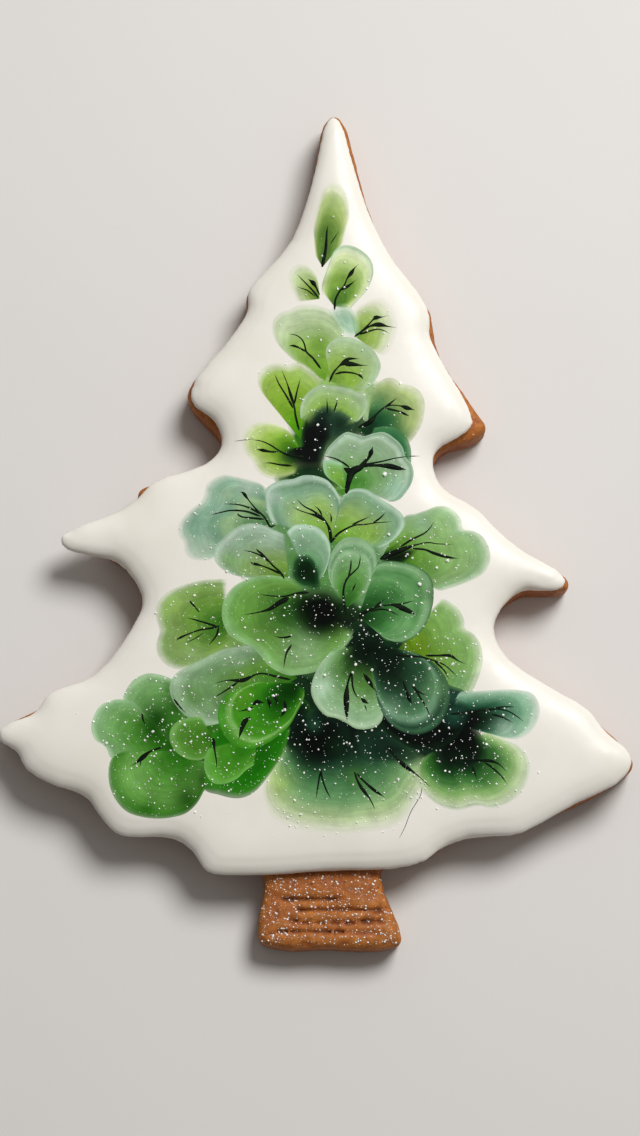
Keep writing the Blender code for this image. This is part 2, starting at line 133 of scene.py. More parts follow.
LEAVES = """
upper 1.1,43 -.1,44.7 -.4,48 -.5,50 -.2,52 .8,56 1.6,57.5 2.8,58.3 4.4,57.5 5.3,56 5.7,54 5.7,52 5.2,50 4.6,47
0:4E7A33 .25:5A7B37 .6:7E9C4E .82:A9C070:.85 1:C9D69A:0 4.9,52:2:B2C66E:.6 1.6,49:1.6:4F7A30:.6
upper .6,37.5 -3.2,36.8 -4,38.5 -4.6,40 -5,41.5 -4.7,43 -3.6,44 -2.2,44 -1,43.3 0,42 .4,40.5 0:5E8A3A
.35:88A449 .7:A9C47A:.8 1:CFDCAE:0
upper 3.2,36 1,38.5 1,40 1.6,42 2.3,44 3,45.8 4.3,46.7 5.5,46.8 7,46.3 8.5,45.2 9.4,43.8 9.6,42 9,40 8.2,38.6
7,37.3 5.4,35.5 0:4F7D30 .3:5C8434 .52:86A950 .7:B4CC84 .86:D3DFB0 .94:D2DFBE .98:A6C9A2 1:9CC296:.6
2.6,40.5:1.8:8DB24E:.6
upper 6.5,31 5.4,34.5 6.5,35.8 8,37 9.8,37.9 11.5,37.8 12.8,36.5 13.6,34.8 14,33 13.6,31 12.8,29 11.8,27.8
10.5,28 9.3,29.6 8,30.3 0:5F8F2C .3:8CA751 .55:A9C276:.95 .78:D0DAB2:.75 1:E1E2D0:0 8.4,34.6:1.8:9DBB5C:.6
9.6,30.6:1.4:A9CC52:.5
upper 1.5,23.5 -3.8,27 -5.3,28.5 -6.6,30 -7.3,32 -7.2,34 -6,35.3 -4.3,35.8 -3.2,36.4 -1.5,36.6 .5,36.4
2.3,35.7 3.8,34.5 4.8,33 4.9,31.5 4,30.7 0:6FA02E .3:84AC46 .5:97B85E .64:AAC588 .8:B9CDA0 .93:BFD0AA:.95
1:CBD8B8:.15 -5.8,33:2.2:C3D1AC:.7 .3,29.6:1.7:6F9A3C:.75 -3.4,29.6:1.6:93B852:.6 3.8,33.6:1.6:86AC74:.4
upper - 2.2,35.6 4.2,36.8 6,36 7.2,34 7.4,31.6 6.2,30.4 4.6,31.4 3.2,33.4 0:8FBC9E:.9 .6:9CC4A4:.75 1:B4D0B6:0
upper 2.5,23.3 1.6,27.5 1.7,29 2.6,30.3 4,30.9 5.6,30.9 7.5,30.2 9.3,29 10.3,27.6 10.8,26 10.4,24.5 9.4,23
8,22 6,22.3 4,22.8 0:6F9A3A .3:8DB050 .55:9ABA62 .74:A2BC80 .9:ABC498 .97:B9CFAE 1:A9C29A:.8
8.2,28.4:1.8:A6BE92:.5 6,23.6:1.6:86B02E:.6
upper -2.6,13.5 -6,18.5 -8,20.3 -9.3,22 -9.8,23.7 -9.3,25.3 -8,26.3 -6.3,26.6 -4.6,26.3 -3,26.8 -1.4,26 0,24.8
.7,23.3 .3,22.3 0:3E8A0A .2:5A9A12 .45:84AE36 .7:93B648 .88:A6C468 1:C4D69A:.15 -6.2,23.6:2.4:9DC04A:.5
-1,24.4:1.6:AAC57C:.6
upper 8.5,15.5 9,21.3 10,22.8 11.5,23.9 13,23.9 14.3,23 15.8,22.7 17.2,21.8 18,20.3 18.1,18.5 17.7,16.5
16.8,14.6 15.8,13.3 15.2,12.8 0:1E4A22 .25:2F6A3A .42:5E8F4E .6:9AB46C .85:AFC084 1:BECB98:.5
10.4,20.2:1.9:5E8F62:.65 11.2,16.4:2.8:1F5634:.9 13.8,14.6:2.2:2A6A3E:.8 9,15.8:1.8:12301C:.85
16.6,16:1.8:B9CB84:.6
upper -2.5,11 -3.3,13.6 -5,15.4 -7,16.4 -9,16.7 -11,16.2 -12.3,14.8 -12.6,13 -12,11.3 -10.8,9.8 -10,8.2 -8.3,7
-6,6.9 -4,7.4 -3,7.8 0:22500C .25:4E8A1A .45:7EA838 .65:A3C25C .85:BACF84:.9 1:CFDCA6:.05
-2.8,13.6:1.2:2A8C12:.9 -5,13.5:1.4:5E9A1E:.5 -4.6,10.4:1.8:2A4A12:.7
upper 1.5,14 -2.6,17 -2.6,19 -2,20.7 -.8,22 .8,22.8 2.5,22.7 4.5,22.4 6.5,21.8 8.2,20.8 8.7,19.3 8,17.8 7,16.5
0:050A08 .34:0A1410 .45:1C3326 .53:4A6C48 .6:8DB254 .76:9CBC72 .9:A5C08E .97:B6CCAA 1:AFC8A0:.6
7.4,19.4:1.4:A9C29C:.5
upper - 1.4,16.4 2,18 4,18.3 5.9,17.3 6.8,15.6 5.4,14.2 3,13.4 1.6,14.4 0:1A3020 .5:22402C:.9 .8:3A5A44:.6
1:4A6C48:0
upper - -2.6,15.6 -1.9,17.6 .5,18.7 2.8,17.9 3.4,15.6 2.6,13.6 1.6,12 1.3,10 1,7.6 -1,7 -3,7.4 -4.6,8.8
-6,10.6 -4.6,11.8 -2.8,12 -2.7,13.8 0:060A08 .5:0A100C .7:12201A:.85 .86:1C3828:.45 1:22402C:0
upper 6,7 9.5,15.4 11.5,15.7 13.4,15.3 14.9,14.1 15.7,12.2 15.8,10.2 15.6,8.4 0:2A5A34 .8:2F6640 .93:3F7A4C
1:5A8F5E:.8
upper 5.5,6 1.2,10.5 2,12 3.3,13.5 5,14.7 6.6,14.4 7.9,14 9.5,14.5 11.3,14.7 13,13.7 14.3,12.3 14.9,10.5
15.8,9.5 16.2,8 15.9,6.3 15,4.7 13.7,3.3 12,3 10.5,4 9.5,5 0:3E7C30 .2:5F9A4A .45:84A874 .7:92B08C .84:9EBA98
.91:BCD2BC .96:8CAE8C 1:B4CCB4:.9 7.8,6.2:1.5:4E8A34:.7 13.4,5.2:2:9AC2AC:.6 10.6,7:1.6:6FA05A:.5
upper 5,5 4.4,9.4 2.6,9.9 1.3,9.8 1.3,8 2.2,6.8 3.6,5.8 4.3,5 0:4E8A30 .5:7FAE4A .8:86B46A .95:9CC49A
1:A9CDB8:.8
middle -7.5,-.5 -8.3,5.5 -9.5,6.3 -11.5,6.9 -13.5,7.4 -15.5,7.7 -17.3,7 -18.4,5.8 -18.7,4.2 -19.4,2.9
-21.2,1.4 -22.8,-.8 -22.9,-2.6 -22,-4 -21.8,-5.6 -20.8,-6.7 -19,-7 -17.3,-6.8 -16.4,-5.5 -14.5,-4 0:5F8A5E
.28:86A97E .46:A9C49A .6:8AAF94 .72:A4C2AA .84:9ABCA4 .93:B2CBB6:.85 1:C2CFBC:.1 -19,-5.4:2.4:BCCCB6:.7
-20,-1:3:7FA78E:.5 -11.4,5.4:1.6:C6D6C4:.5 -14.6,4.2:1.2:B4CCA6:.5
middle 10.8,-6.5 12.5,-4 13.5,-2 14.6,.5 16.5,1 18.5,1.7 20,2.3 21.5,2.3 23,1.5 24,0 24.3,-1.6 26,-1.9
27.6,-2.8 28.5,-4.5 28.8,-6.5 28.2,-8.3 27,-9.5 25,-10.5 22.5,-11.4 20,-11.9 18,-10 0:12300C .12:2E5E1A
.3:7AA648 .55:93B874 .8:9CBC84 .93:A8C69C 1:B4CEAA:.5 17.6,-.6:1.8:A9C8AC:.6 14.5,-8.2:2:2A6A1A:.75
18.5,-8.8:2.2:5E9238:.5 25.6,-5.6:2.2:9CBF86:.5
middle - 10.2,-7 12.4,-5.7 15.2,-4.8 17,-5 15.5,-6.8 13.5,-7.8 11.5,-7.8 0:0A1A0A .6:12280C:.9 1:2A5A14:0
middle 2.5,-3.7 -7.2,-.8 -8,1 -8.4,3 -8.3,5 -7.2,6 -5.5,6.6 -3.8,6.8 -2,7.4 0,7.3 1.8,6.6 3,5.3 3.8,3.8 4,2.5
0:86AE50 .3:98BE64 .52:A8C486 .68:A0BE98 .8:90B096 .9:8AAC8E .95:C2D8C6 1:AFCAB4:.9 .4,2.4:1.6:A9C866:.5
-7,3.6:1.2:C6DACC:.5
middle 2.5,-3.7 4,3 5,4.5 6.5,5.2 8.5,5 10,4 11.5,3 13,2 14.3,.8 14.8,-.7 14,-2.3 12.5,-3.8 10.5,-4.8 9.3,-4.5
0:6FA03C .3:8FB858 .55:A2C078 .75:98B88C .9:92B496 .96:B9D2BC 1:A4C2A6:.8 9.4,-2.6:1.8:93BC4C:.6
middle -4.5,-10.2 -9.5,-9.8 -12.5,-9.6 -14.8,-8.8 -16.3,-7.5 -16.9,-6 -16.5,-4.5 -15,-2.8 -13,-1.3 -11,-.7
-9,-.9 -7.5,-1.6 -6,-2.2 -5,-2.6 0:5E8F3A .3:8BAC5C .52:97B27C .7:97B094 .86:A4BDA4 .95:BDD0BE 1:AFC6B0:.7
-14.5,-7:1.6:86B24A:.5 -12,-8.6:1.6:96BC5C:.5 -8,-3.4:2:B6CCB8:.5
lower -14.8,-17.5 -14.5,-10 -17,-10 -19.5,-10.3 -22,-11 -24.5,-12.2 -26,-13.8 -26.4,-15.8 -26,-17.5
-25.7,-18.8 -26.2,-20.5 -26.1,-22.3 -25,-24 -23,-25 -21,-25 -19,-24.6 -17,-24 -15,-22.8 -13.4,-21.6 0:3F7420
.25:5C8C3A .5:7FA650 .75:92AE6B .9:9AB878 1:B0C896:.35 -24,-14.4:2.2:A9CB74:.5 -20,-22.6:2:9CB886:.5
-18.4,-12.4:1.8:6F9C40:.4
lower -21,-38 -21.5,-31 -22.6,-28.4 -23.3,-27 -24.5,-26.3 -26.3,-25.8 -28,-25.8 -29.8,-26.7 -31,-28.2
-31.6,-29.8 -31,-32 0:1F5A10 .25:3C7C1E .5:5E9A46 .78:82B070 .93:98C08A 1:9FC898:.7 -24,-28.4:1.4:2E6A1A:.6
-26.2,-33.4:2.6:1A520C:.9 -22.6,-31:1.6:1A520C:.8
lower -23,-38 -29.5,-30.5 -32,-30 -33.5,-30.2 -35.3,-31 -36.4,-32.8 -36.8,-34.8 -36.2,-36.6 -35,-37.4
-34.2,-38.2 -33.4,-39.8 -31,-41 0:2A6A10 .25:45882A .55:68A24C .8:88B476 .94:98C08E 1:A6CCA0:.7
-26.6,-34.4:2.6:1C560C:.9
lower -21,-38.5 -31.5,-38.5 -33.4,-39.8 -33.9,-42 -33.6,-44.5 -32.5,-46.8 -30.8,-48.5 -28.5,-49.3 -26,-49.6
-23.5,-49.4 -21.3,-48.8 -19.6,-47.4 -18.6,-45.8 -18,-44.8 -16.5,-44.5 -16,-42 0:2A6A10 .22:45882A .45:68A24A
.7:7CB05E .84:6FA650 .95:4E9030 1:6AA44E:.8 -27.5,-48.2:1.8:2F7A12:.6 -21,-46.4:2.6:1F5A08:.85
-18.4,-43:2:1F5A08:.8 -30,-43:2.6:8CBC70:.6
lower -3,-26.5 -7,-25 -9,-23 -10.8,-21.2 -13,-21.3 -15.5,-21.8 -18,-23 -21,-24.5 -23.2,-26 -24,-28 -23.6,-30
-22.3,-31.9 -20.5,-33.4 -18,-34.4 -15.4,-34 0:3E7A20 .28:5F9440 .5:76A052 .7:7FA272 .86:8FAE88 .95:AFC8AA
1:A5BFA0:.7 -20.4,-29.6:2.2:6FA046:.6 -14,-30:2:4A782F:.6 -13,-22.8:1.8:A4BEA0:.5
lower 13,-22.3 16.5,-19.8 18.5,-18 19.8,-15 20.5,-13.4 22,-13.8 23.5,-15 24.4,-16.8 24.5,-18.2 26,-19.2
27.1,-21 27.4,-23.3 27,-25.5 26.2,-27.6 25.2,-29.4 23,-30.6 20.5,-30.4 19.5,-27 0:2A5A10 .25:6F9420 .5:7FA650
.75:90B86E .9:9DBF81 1:B0CC9A:.5 17,-21:1.8:7A9A20:.7 23.5,-27:1.8:76A47A:.5
lower - 20.4,-27.6 22.8,-28 24.6,-29 25,-32 22,-33 20,-31 0:2F5646 .7:2F5646 1:3E6A50:.6
lower 5,-28 -5.8,-35 -7.2,-39 -8.5,-43 -8.9,-46.5 -7.4,-49.8 -4.5,-51.3 -1.5,-52.2 2,-52.6 5,-52.7 8,-52.3
11,-51.9 13.6,-51 15.4,-49.3 16.4,-47.4 17.8,-45.6 19,-43.6 20,-41 0:0A140E .3:0E1C14 .42:1C3828 .53:315840
.64:56865A .76:84AE7C .87:B4CC94:.9 .94:CBDAAE:.6 1:DDE4C8:0 -6.4,-44:2.2:B4D07A:.7 3,-45:2.4:6FA070:.4
14,-45:2.6:A9CC92:.5 -1,-40.5:2.2:1E4426:.6 6.4,-43:1.8:5E8A40:.5
lower - -6.4,-31 -3.4,-29.6 -1,-31 -1.4,-35 -2.6,-38.2 -4.6,-38.6 -6,-36 0:0A160C .6:12281A .85:1C4020:.9
1:3A6A2A:.3
lower - -4.8,-33 -5.6,-37 -4.4,-40.2 -1,-41.8 3,-41.4 5.8,-39.8 6.2,-36.6 5,-33.4 2,-32 -1.5,-31.8 0:050A08
.4:09100C .66:10201A:.85 .84:1C3828:.5 1:1C3828:0 -.3,-34.2:1.1:3A6A50:.6 4,-37.8:2:17381E:.75
lower - 6,-35.4 6.5,-38.5 9,-40.6 13,-41.2 17,-41.2 20,-39.4 18,-37 14,-36 10,-34.6 0:1A3028 .6:22402F:.85
1:2A4A3C:0
lower 21,-37.5 27.5,-35.2 29.5,-35.8 31.5,-36.8 33.5,-38 34.8,-39.8 35,-42 34.3,-44.2 33,-46 31,-47.3
28.8,-47.9 26.8,-47.6 25.3,-47.8 23.3,-48.3 21,-47.9 19,-46.8 17.5,-45.2 16.5,-43.5 16.5,-41.5 17.5,-39.5
0:0A140E .32:0E2014 .46:2A5A2C .62:5A8E50 .78:9ABF7E .88:BCD2A0:.95 .95:C9D8B4:.8 .975:AAC49A:.8 1:C9D8B8:.2
17.6,-40.6:1.8:4E8A3C:.7 29,-41:2:4E7A40:.5
lower - 19,-38 20,-40.5 22.5,-42 26,-42 28,-40 28,-37 26.5,-34 25.5,-31 24,-29.8 23,-32 22,-35 20.5,-36.3
0:060C09 .5:0A140E .72:14241A:.8 .88:1E3A28:.4 1:1E3A28:0 23.6,-40:1.6:16361C:.6
lower 22,-34 22.8,-30.2 23.6,-28.9 25,-28.7 27,-28.6 30,-28.4 33,-28.4 35.2,-28.8 36.3,-30 36.7,-31.8
36.2,-33.8 35,-35.5 33,-36.5 30.5,-36.3 28.5,-35.5 0:09100C .3:0A140E .42:1C4028 .58:41755A .76:7FAA8C
.9:A5C6AC 1:BCD3C0:.5 31,-35:1.6:B9D0BC:.5
middle -.5,-11.5 -5,-2.2 -3.5,-1 -1.5,-.9 .5,-1.5 1.8,-3 2.4,-5 2,-7.5 1.2,-9.5 0:153616 .25:2A5A30 .45:7AA87A
.7:93B296 .88:A5C7A8 .95:C0D8C4 1:B2D0B8:.8
middle 5,-15 2.8,-12 2,-9 2.2,-6.5 3,-4.8 4.5,-3.3 6.2,-3 8,-3.5 9.5,-4.8 10,-6.8 9.9,-9 9.2,-10.8 8,-12.5
0:2F6A26 .3:5A9248 .5:74A45E .7:8CB282 .8:A4C49E .86:7CA67A .93:AAC8A4 1:94B890:.9
middle - -4,-7.5 -3.3,-6.2 -1.8,-5.8 -.5,-6.5 .3,-8 .7,-10 .7,-12 -2,-11.6 -4,-10 0:10280F .5:163A1C
.8:225430:.9 1:3A6E48:.1
middle 1,-15.5 -3.5,-10 -6,-9.6 -8.5,-9.4 -11,-10 -13.2,-11 -14.8,-12.8 -15.5,-15 -15.3,-17.3 -14.3,-19.3
-12.5,-20.5 -10.5,-21.5 -9,-23 -7.5,-24.7 -5,-26 -2.5,-26 .6,-25.2 3,-23 5,-21 6.4,-18.6 0:041207 .13:0F1F10
.3:3A6C2C .5:619045 .72:7AA656 .88:86B268 .96:9CC48C 1:A6CA98:.7 -2,-22.6:3.4:A4C296:.75 -13,-16:2.4:7CB052:.5
-6,-15.6:3:2E5E22:.5
middle 7,-16.3 9.5,-8.5 10.5,-7.2 12.5,-7 14.5,-7.3 16.5,-7.8 18.3,-9 19.2,-10.5 19.4,-12.5 19.2,-14.5
18.5,-16.7 17.5,-18.5 16,-19.8 14,-20.6 12,-20.3 10.5,-19.3 9,-18 0:0E2A12 .18:2B5A2A .38:467C44 .56:60965A
.7:7CAA74 .8:689A64 .88:86B07E .94:9CC096 1:4C7A4A:.95 14.5,-18.4:1.8:8ABA80:.6 18.8,-13:1.2:2B5F1D:.5
middle - -4.5,-14 -4,-17 -2,-19.5 1.5,-20.5 4.5,-20 6,-18 5.5,-15 4,-12.5 2,-11 -1,-11 -3.5,-12 0:030805
.4:041207 .62:0B2008:.85 .82:14301A:.45 1:14301A:0 -2.4,-17.4:1.6:1A3C14:.5
lower 16,-28.5 9,-28.4 9.5,-31.6 10.9,-34.8 13.4,-36.9 16,-38.2 19,-38.3 22,-37.2 24.2,-34.5 24.4,-31 0:0C1A12
.7:0A140E .9:0A140E 1:16301E:.7
lower - 20.2,-32 21.2,-30.4 23.2,-29.9 25.2,-31 25.2,-33.4 23.6,-35 21.8,-35.2 20.4,-33.8 0:2F5A48:.95
.6:264A3C:.85 1:1E3A28:0
lower 8,-20.5 2.5,-22 .5,-24.5 -.6,-27 -.8,-29 0,-31 1.5,-32.7 3.3,-33.2 5,-34 6.5,-34.9 8.3,-35 10,-34.5
11,-33 10.8,-31 10,-29 0:0C1A0F .2:1A2C18 .36:3E6230 .52:6F9A5C .72:93B886 .9:A6C6A0 .97:B8D0B0 1:AECBA2:.7
1.2,-28:1.8:BDD6C0:.6 8,-28:1.8:5E8A40:.6
lower 9.2,-20.6 9.6,-28 10.3,-31 11.6,-33.5 13.6,-35.2 16,-35.9 18.2,-35.5 20.2,-34.2 21.5,-32 22,-29.5
21.7,-27.4 20.6,-25.4 18.8,-23.6 16.6,-22.4 0:0B1A12 .3:13281A .42:203A26 .56:365A42 .68:4C7656 .78:628C68
.83:8CB092 .87:668C70 .92:315640 .96:4E7658 1:284834:.9 20.2,-28:2.4:6E9668:.6 12.2,-31.6:1.5:92B498:.55
17,-24.6:2:2E563A:.6
lower - 5,-21 5.5,-23.5 8,-25 11,-24.5 13,-22.5 11.5,-20 9,-19.2 6.5,-19.3 0:0A1A10 .6:10281A:.8 1:1C3A24:0
lower -8,-34 -4,-34.5 -5,-38 -6.5,-40.8 -8,-43 -9.7,-45 -11.5,-46.1 -13.5,-46.3 -16,-45.7 -18,-45 -18.3,-43
-17.8,-41 -18,-38 -17.5,-35 0:1F5A10 .4:2A7410 .8:2F8416 .93:468E2A 1:4A8A2A:.7
lower -9.5,-36 -17.6,-38 -18.3,-40.3 -17.9,-42.5 -16.8,-43.8 -15,-44 -13,-43.2 -11.5,-41.8 -10,-40.8 0:26701A
.4:468E26 .7:5A9C35 .88:6FB04A 1:8CC470:.8
lower -17,-36.5 -18.5,-33 -20.5,-33 -22.5,-33.6 -23.8,-35 -23.9,-37 -22.8,-38.8 -21,-39.9 -19,-40.1
-17.8,-39.5 0:3F7A20 .5:5F9439 .82:6FA44C .94:8CBA70 1:86B468:.8
lower -3,-27.5 -3.5,-27.2 -5.5,-27.3 -8,-27.2 -10.5,-27.3 -12.8,-28.2 -14.8,-29.5 -15.9,-31.5 -16,-33.5
-15.3,-35.5 -14,-37.2 -12,-38.1 -10,-38.1 -7.8,-37.2 -5.8,-35.8 -4.2,-34.2 -3,-32 -2,-30 -1.8,-28.3 0:184C0D
.2:246A10 .42:3A8A1E .62:4F9A2A .82:5CA232 .87:A4CF86 .9:67A840 1:4F9A30:.95 -6,-30.5:2.6:164A0C:.8
-4,-28.6:2:123E08:.8 -12,-29.6:1.8:7AB240:.5
"""

# Twigs as brush strokes of points x,y or x,y,width.
TWIGS = """
1,43,.6 1.6,46,.5 1.8,49,.3 2,50.3,.15 | 2.4,47,.2 3.8,49.2,.12 | .6,38.2 0,39.5 -.5,40.3,.8 -1.4,41,.15 |
.4,37.7 -.6,39 -1.8,40.3 -3.2,41.8 | -.2,38,.25 -1.5,39,.2 -3.2,39.6,.1 | 3.1,35.6,.45 3.2,37.2 3.8,38.6
4.7,39.8 5.2,41 5.9,42,.7 6.5,42.9 7.2,43.6 | 4.2,39 5.2,39.6,.5 6,40.2 6.8,40.9 | 6.4,31 7.5,31.8 8.5,32.8
9.5,33.9 10,34.3,.8 11,34.4 12,34.7 | 7.5,31.8 9,32.8 10.5,33.1,.8 12,32.8 13.4,32.6 | 7.3,31.4 9,32 10.5,32.3
12.2,31.7 | .8,25.5 -.5,27.3 -1.6,28.4 -1.9,29.6 -2.4,30.6 -3.4,31.3 -4.6,31.5 | -1.6,28.4 -3,29.2 -4,29.5,.55
-4.5,29.4,.2 | 2.2,23.2 2.9,24.8 3.9,26 4.8,26.6,.95 5.5,27.2,.5 7.3,27.2 | 4.5,26.4,.9 6,26.3,.8 7.5,26.1
8.8,26.1 | 3.2,24.6 4.5,24.9 6,24.8 7,24.5 7.5,24.2,.6 7.9,23.7,.2 | -2.8,15 -3.4,17.5 -3.6,19 -4.2,21,.5
-4.8,23 -5.7,25.3 | -3.8,18.8 -5,21 -6.2,23 -6.9,24.7 | -3.6,19.5 -3.2,21.5 -2.6,23.9 | 7,15.5 9,16.5,.8
10,17.7 11.2,18.8 12.3,19.3 14,19.2 15,18.9,.75 16.5,18.5 | 11.4,18.9 12.8,20 13.5,20.6 | 11.5,18.8 12.8,18.5
14,18.2 15,17.7,.5 15.5,17.5,.2 | -2,10.5,.8 -4.5,10.8 -6,11.5 -7.5,12.5 -9,13.2 -10.7,13.5 | -6.3,11.4
-7.5,11.4 -9,11.7,.6 -9.9,11.8,.15 | -4,9 -6,9.2 -7.5,9.5 -8.7,9.5 | 1.9,18,.3 1.8,20.6,.12 | 3,18.2,.3
3.4,19.5 3.6,20.3,.12 | 15.4,10.7,.2 17.4,10.8,.06 | -13.5,13.3,.08 -10.5,13.6,.12 | 5,4.3,.7 5.4,6.3,.9
6,8,1.3 7.4,8.8,1 8.2,9.8,.6 8.8,10.5,.5 9.2,11.5,.85 9.4,12.3,.15 | 4.6,8.6,.5 5.4,8.2,1.1 6.2,7.6,.9 |
7.5,9,.6 9.5,9.5 11,9.8 13,10.3 15.4,10.7 | 7.5,9,.6 10,9.1,.45 12,9,.9 13.4,8.7,.8 15,8.4,.25 | 5.5,8.8
4.4,9.6 3,10.3 1.2,10.7 | -6.8,-1 -7.6,-1.2 -8.5,.3 -10,1.8 -11.2,3.3 -12,4.4,.75 -12.5,4.6,.4 | -9,.8 -11,1.9
-13,2.5 -15.2,2.6 | -9.2,.5 -11.5,1.3 -14,1.5 -16,1.1 -17.5,.7 | -8.6,0 -10.5,.2 -12.2,.4 -12.9,.8,.6
-12.9,1.1,.3 | 10.6,-6.7,.9 12.5,-5.8,.8 14.5,-5,.8 16.5,-4.3 18.5,-3.9 20,-4.1 22.5,-4.2 | 14,-4.6 16,-3.3
17.8,-2.4 18.8,-1.5 19.5,-.4 | 16,-4.9 18,-5.1 19.5,-5.7,.5 21.5,-6.3,.45 23.5,-6.6 | 2.5,-4,.6 2.3,-2,.55
1.7,-.6 .6,.4,.7 -1,.9 -2.5,1.4 -3.8,2 | 1,.3 -.5,1.4 -2,2.2 -3.2,3.4 | 1,.6 .5,1.6 -.3,2.3 | 2.5,-.5 2.5,.5
2.2,1.1 | 2.5,-4 3.5,-2.6 5,-1.6 6.5,-1 8,-.9 10,-.6 12.5,-.4 | 6,-.9 7.3,-.3 9,.5 | 9.5,-.6 10.7,.3 11.6,1.3
| -5.2,-10 -6,-8.8 -7.2,-7.7 -8.3,-6.4 -9.7,-5.2,.5 -9.8,-4.9,.3 | -7.5,-7.3 -8.8,-6.3 -10.3,-5.6 -12,-5.2 |
-5.8,-9.2 -7.2,-8.5 -9,-7.8 -10.5,-7.4,.7 -10.8,-7.2,.3 | -15.9,-17.8 -17,-18.2 -19,-18.5 -21,-19.2
-22.7,-20,.5 -22.9,-20.3,.3 | -16.2,-18 -18,-17.4 -20,-16.8 -21.3,-16.5 | -19.2,-15.6,.25 -20,-14.6,.25
-20.8,-13.7,.5 -21,-13.5,.2 | -16,-18 -16.3,-19.3 -17,-20.3 -17.8,-21.3 | -18.5,-19,.15 -20,-20,.15
-21.5,-20.7,.1 | -25,-37.9 -27,-38.6 -28.3,-39.6,.8 -29.5,-40.6 -30.4,-41 | -28.6,-40.2 -28.8,-41.3 |
-28.5,-32.3 -28.3,-33.5 -27.7,-34.5 | -23.3,-30,.4 -22.3,-31.3 -21.3,-32.3 | -4.2,-26.8 -6.5,-26.3 -8.5,-25.8
-10,-26 -12,-26.9,.7 -14.5,-26.9 -16.6,-27.4 | -12.8,-27.2 -14.5,-28.4 -16.9,-29.9 | 13,-22.6 15,-22.9 17,-23
19,-23.5 21,-24.3 22.3,-25.4 23.2,-26.3 | 18,-22.8 20,-22.8 22,-22.8,.5 23.3,-23.6 24.6,-24.2 | 19.5,-23.8
21,-25.2 21.9,-26.8 | 6.3,-42 6.8,-43.5 7.7,-45,.6 8.7,-46.3 9.4,-47.6 9.6,-48.2 | 6.7,-42.3 7.8,-43.5
9.5,-45,.5 11.3,-46.2 | 11.8,-37.8,.6 13,-39.5 14.5,-41,.75 16.5,-42.5 18.7,-44.5 | .8,-41.5,.3 1,-43,.3
1.7,-45,.25 2.5,-46.5,.12 | .7,-42,.3 .3,-44.5,.25 0,-46.5,.12 | 17.3,-44.5,.1 17,-46,.1 15.5,-48.5,.1
14.5,-51,.09 13.5,-53,.06 | 24,-40 26.5,-40.1 28.5,-40.2,.5 30,-40.8 31.2,-42.1 | 27.5,-40.4 28.8,-41.3
30.3,-42.7 31.2,-44 | 25.5,-41,.5 26.3,-43.2,.15 | 22,-32.5 25,-32.2 27.5,-31.8 29.5,-31.6 31.5,-32 33,-32.9
34,-33.7 | 28.5,-31.8 30.5,-31.3 33,-31.3 | 28.8,-32.5 30.5,-33 32.3,-33.9 | 5,-16 4.5,-12.5 5,-10.2 6.3,-8.8
7,-8 7.3,-6.5 7.2,-5.8 | 5.3,-10 5.7,-8.2 5.8,-6.8,.5 | 6,-12 6.7,-10.5 | -1.2,-12.3,.6 -3,-12.4 -5,-12.9
-7,-12.9 -9.3,-12.6 | -4.5,-13.2,.95 -6,-14,.8 -7.5,-15,.6 -9,-15.5 -10.5,-15.8 -11.8,-16 | -3.8,-19.5
-5,-19.8 -6,-19.8 -7,-19.5 | -4,-21 -4.8,-22.3 -5.1,-23.5 -5.3,-25 | 7.2,-16.2,.8 8.8,-15.2 10.5,-14.6
12.5,-14.4 14,-14.8,.9 15.5,-15.5,.7 16.6,-16.1 | 12,-14.3 14,-14.2 16.3,-13.6 | 9.5,-14.9 10.5,-14 11.5,-13.3
| 8.8,-15.4 10.5,-15.1 12,-15.3 13.7,-16.2 | 5.8,-25.5 5.2,-27.5 5,-29.5,.95 5,-31.5,.8 5.1,-33.7 | 5.9,-25.8
6,-27.8 6.5,-29.3 7.2,-30 | 7.4,-29.9,.5 8,-30.4,.9 8.6,-30.8,.5 | 7.8,-25.8 8.8,-27.2,.75 9.4,-28.2 10.3,-29
| 8,-31 8.4,-32.2 | 14.3,-27 14.8,-28.5 15.3,-30,.65 15.8,-31 | 16,-27.8 17,-29.6 18,-31.2 18.8,-33.2 |
15.8,-28 17,-28.9 18.3,-29.5 | -16.8,-36.5,.8 -16.6,-38.2 -16.3,-40 -16.2,-41.5 | -10.8,-33 -11.8,-34,.85
-12.7,-36.8 | -10.3,-31.3 -11.5,-31.8 -12.8,-32.1 | -10.4,-31,.5 -9.6,-30.5,.8 -8.5,-30.6,.4 | -8,-30,.3
-7.6,-30.6,.7 -7.6,-31.6,.3 | -7,-29.6,.4 -6.4,-30.2,.5 -6.6,-31,.2 | -5.2,-30.3,.5 -5,-31.4,.5 -5.4,-32.4,.6
-5.9,-33,.12
"""
TWIG_START_MM, TWIG_END_MM = 0.4, 0.12  # widths of a stroke where it sets off and where it ends
TWIG_LEAST_MM = 0.06
TWIG_FLATNESS = 0.16  # a stroke's thickness against its width
TWIG_STANDS = 0.015 * MM

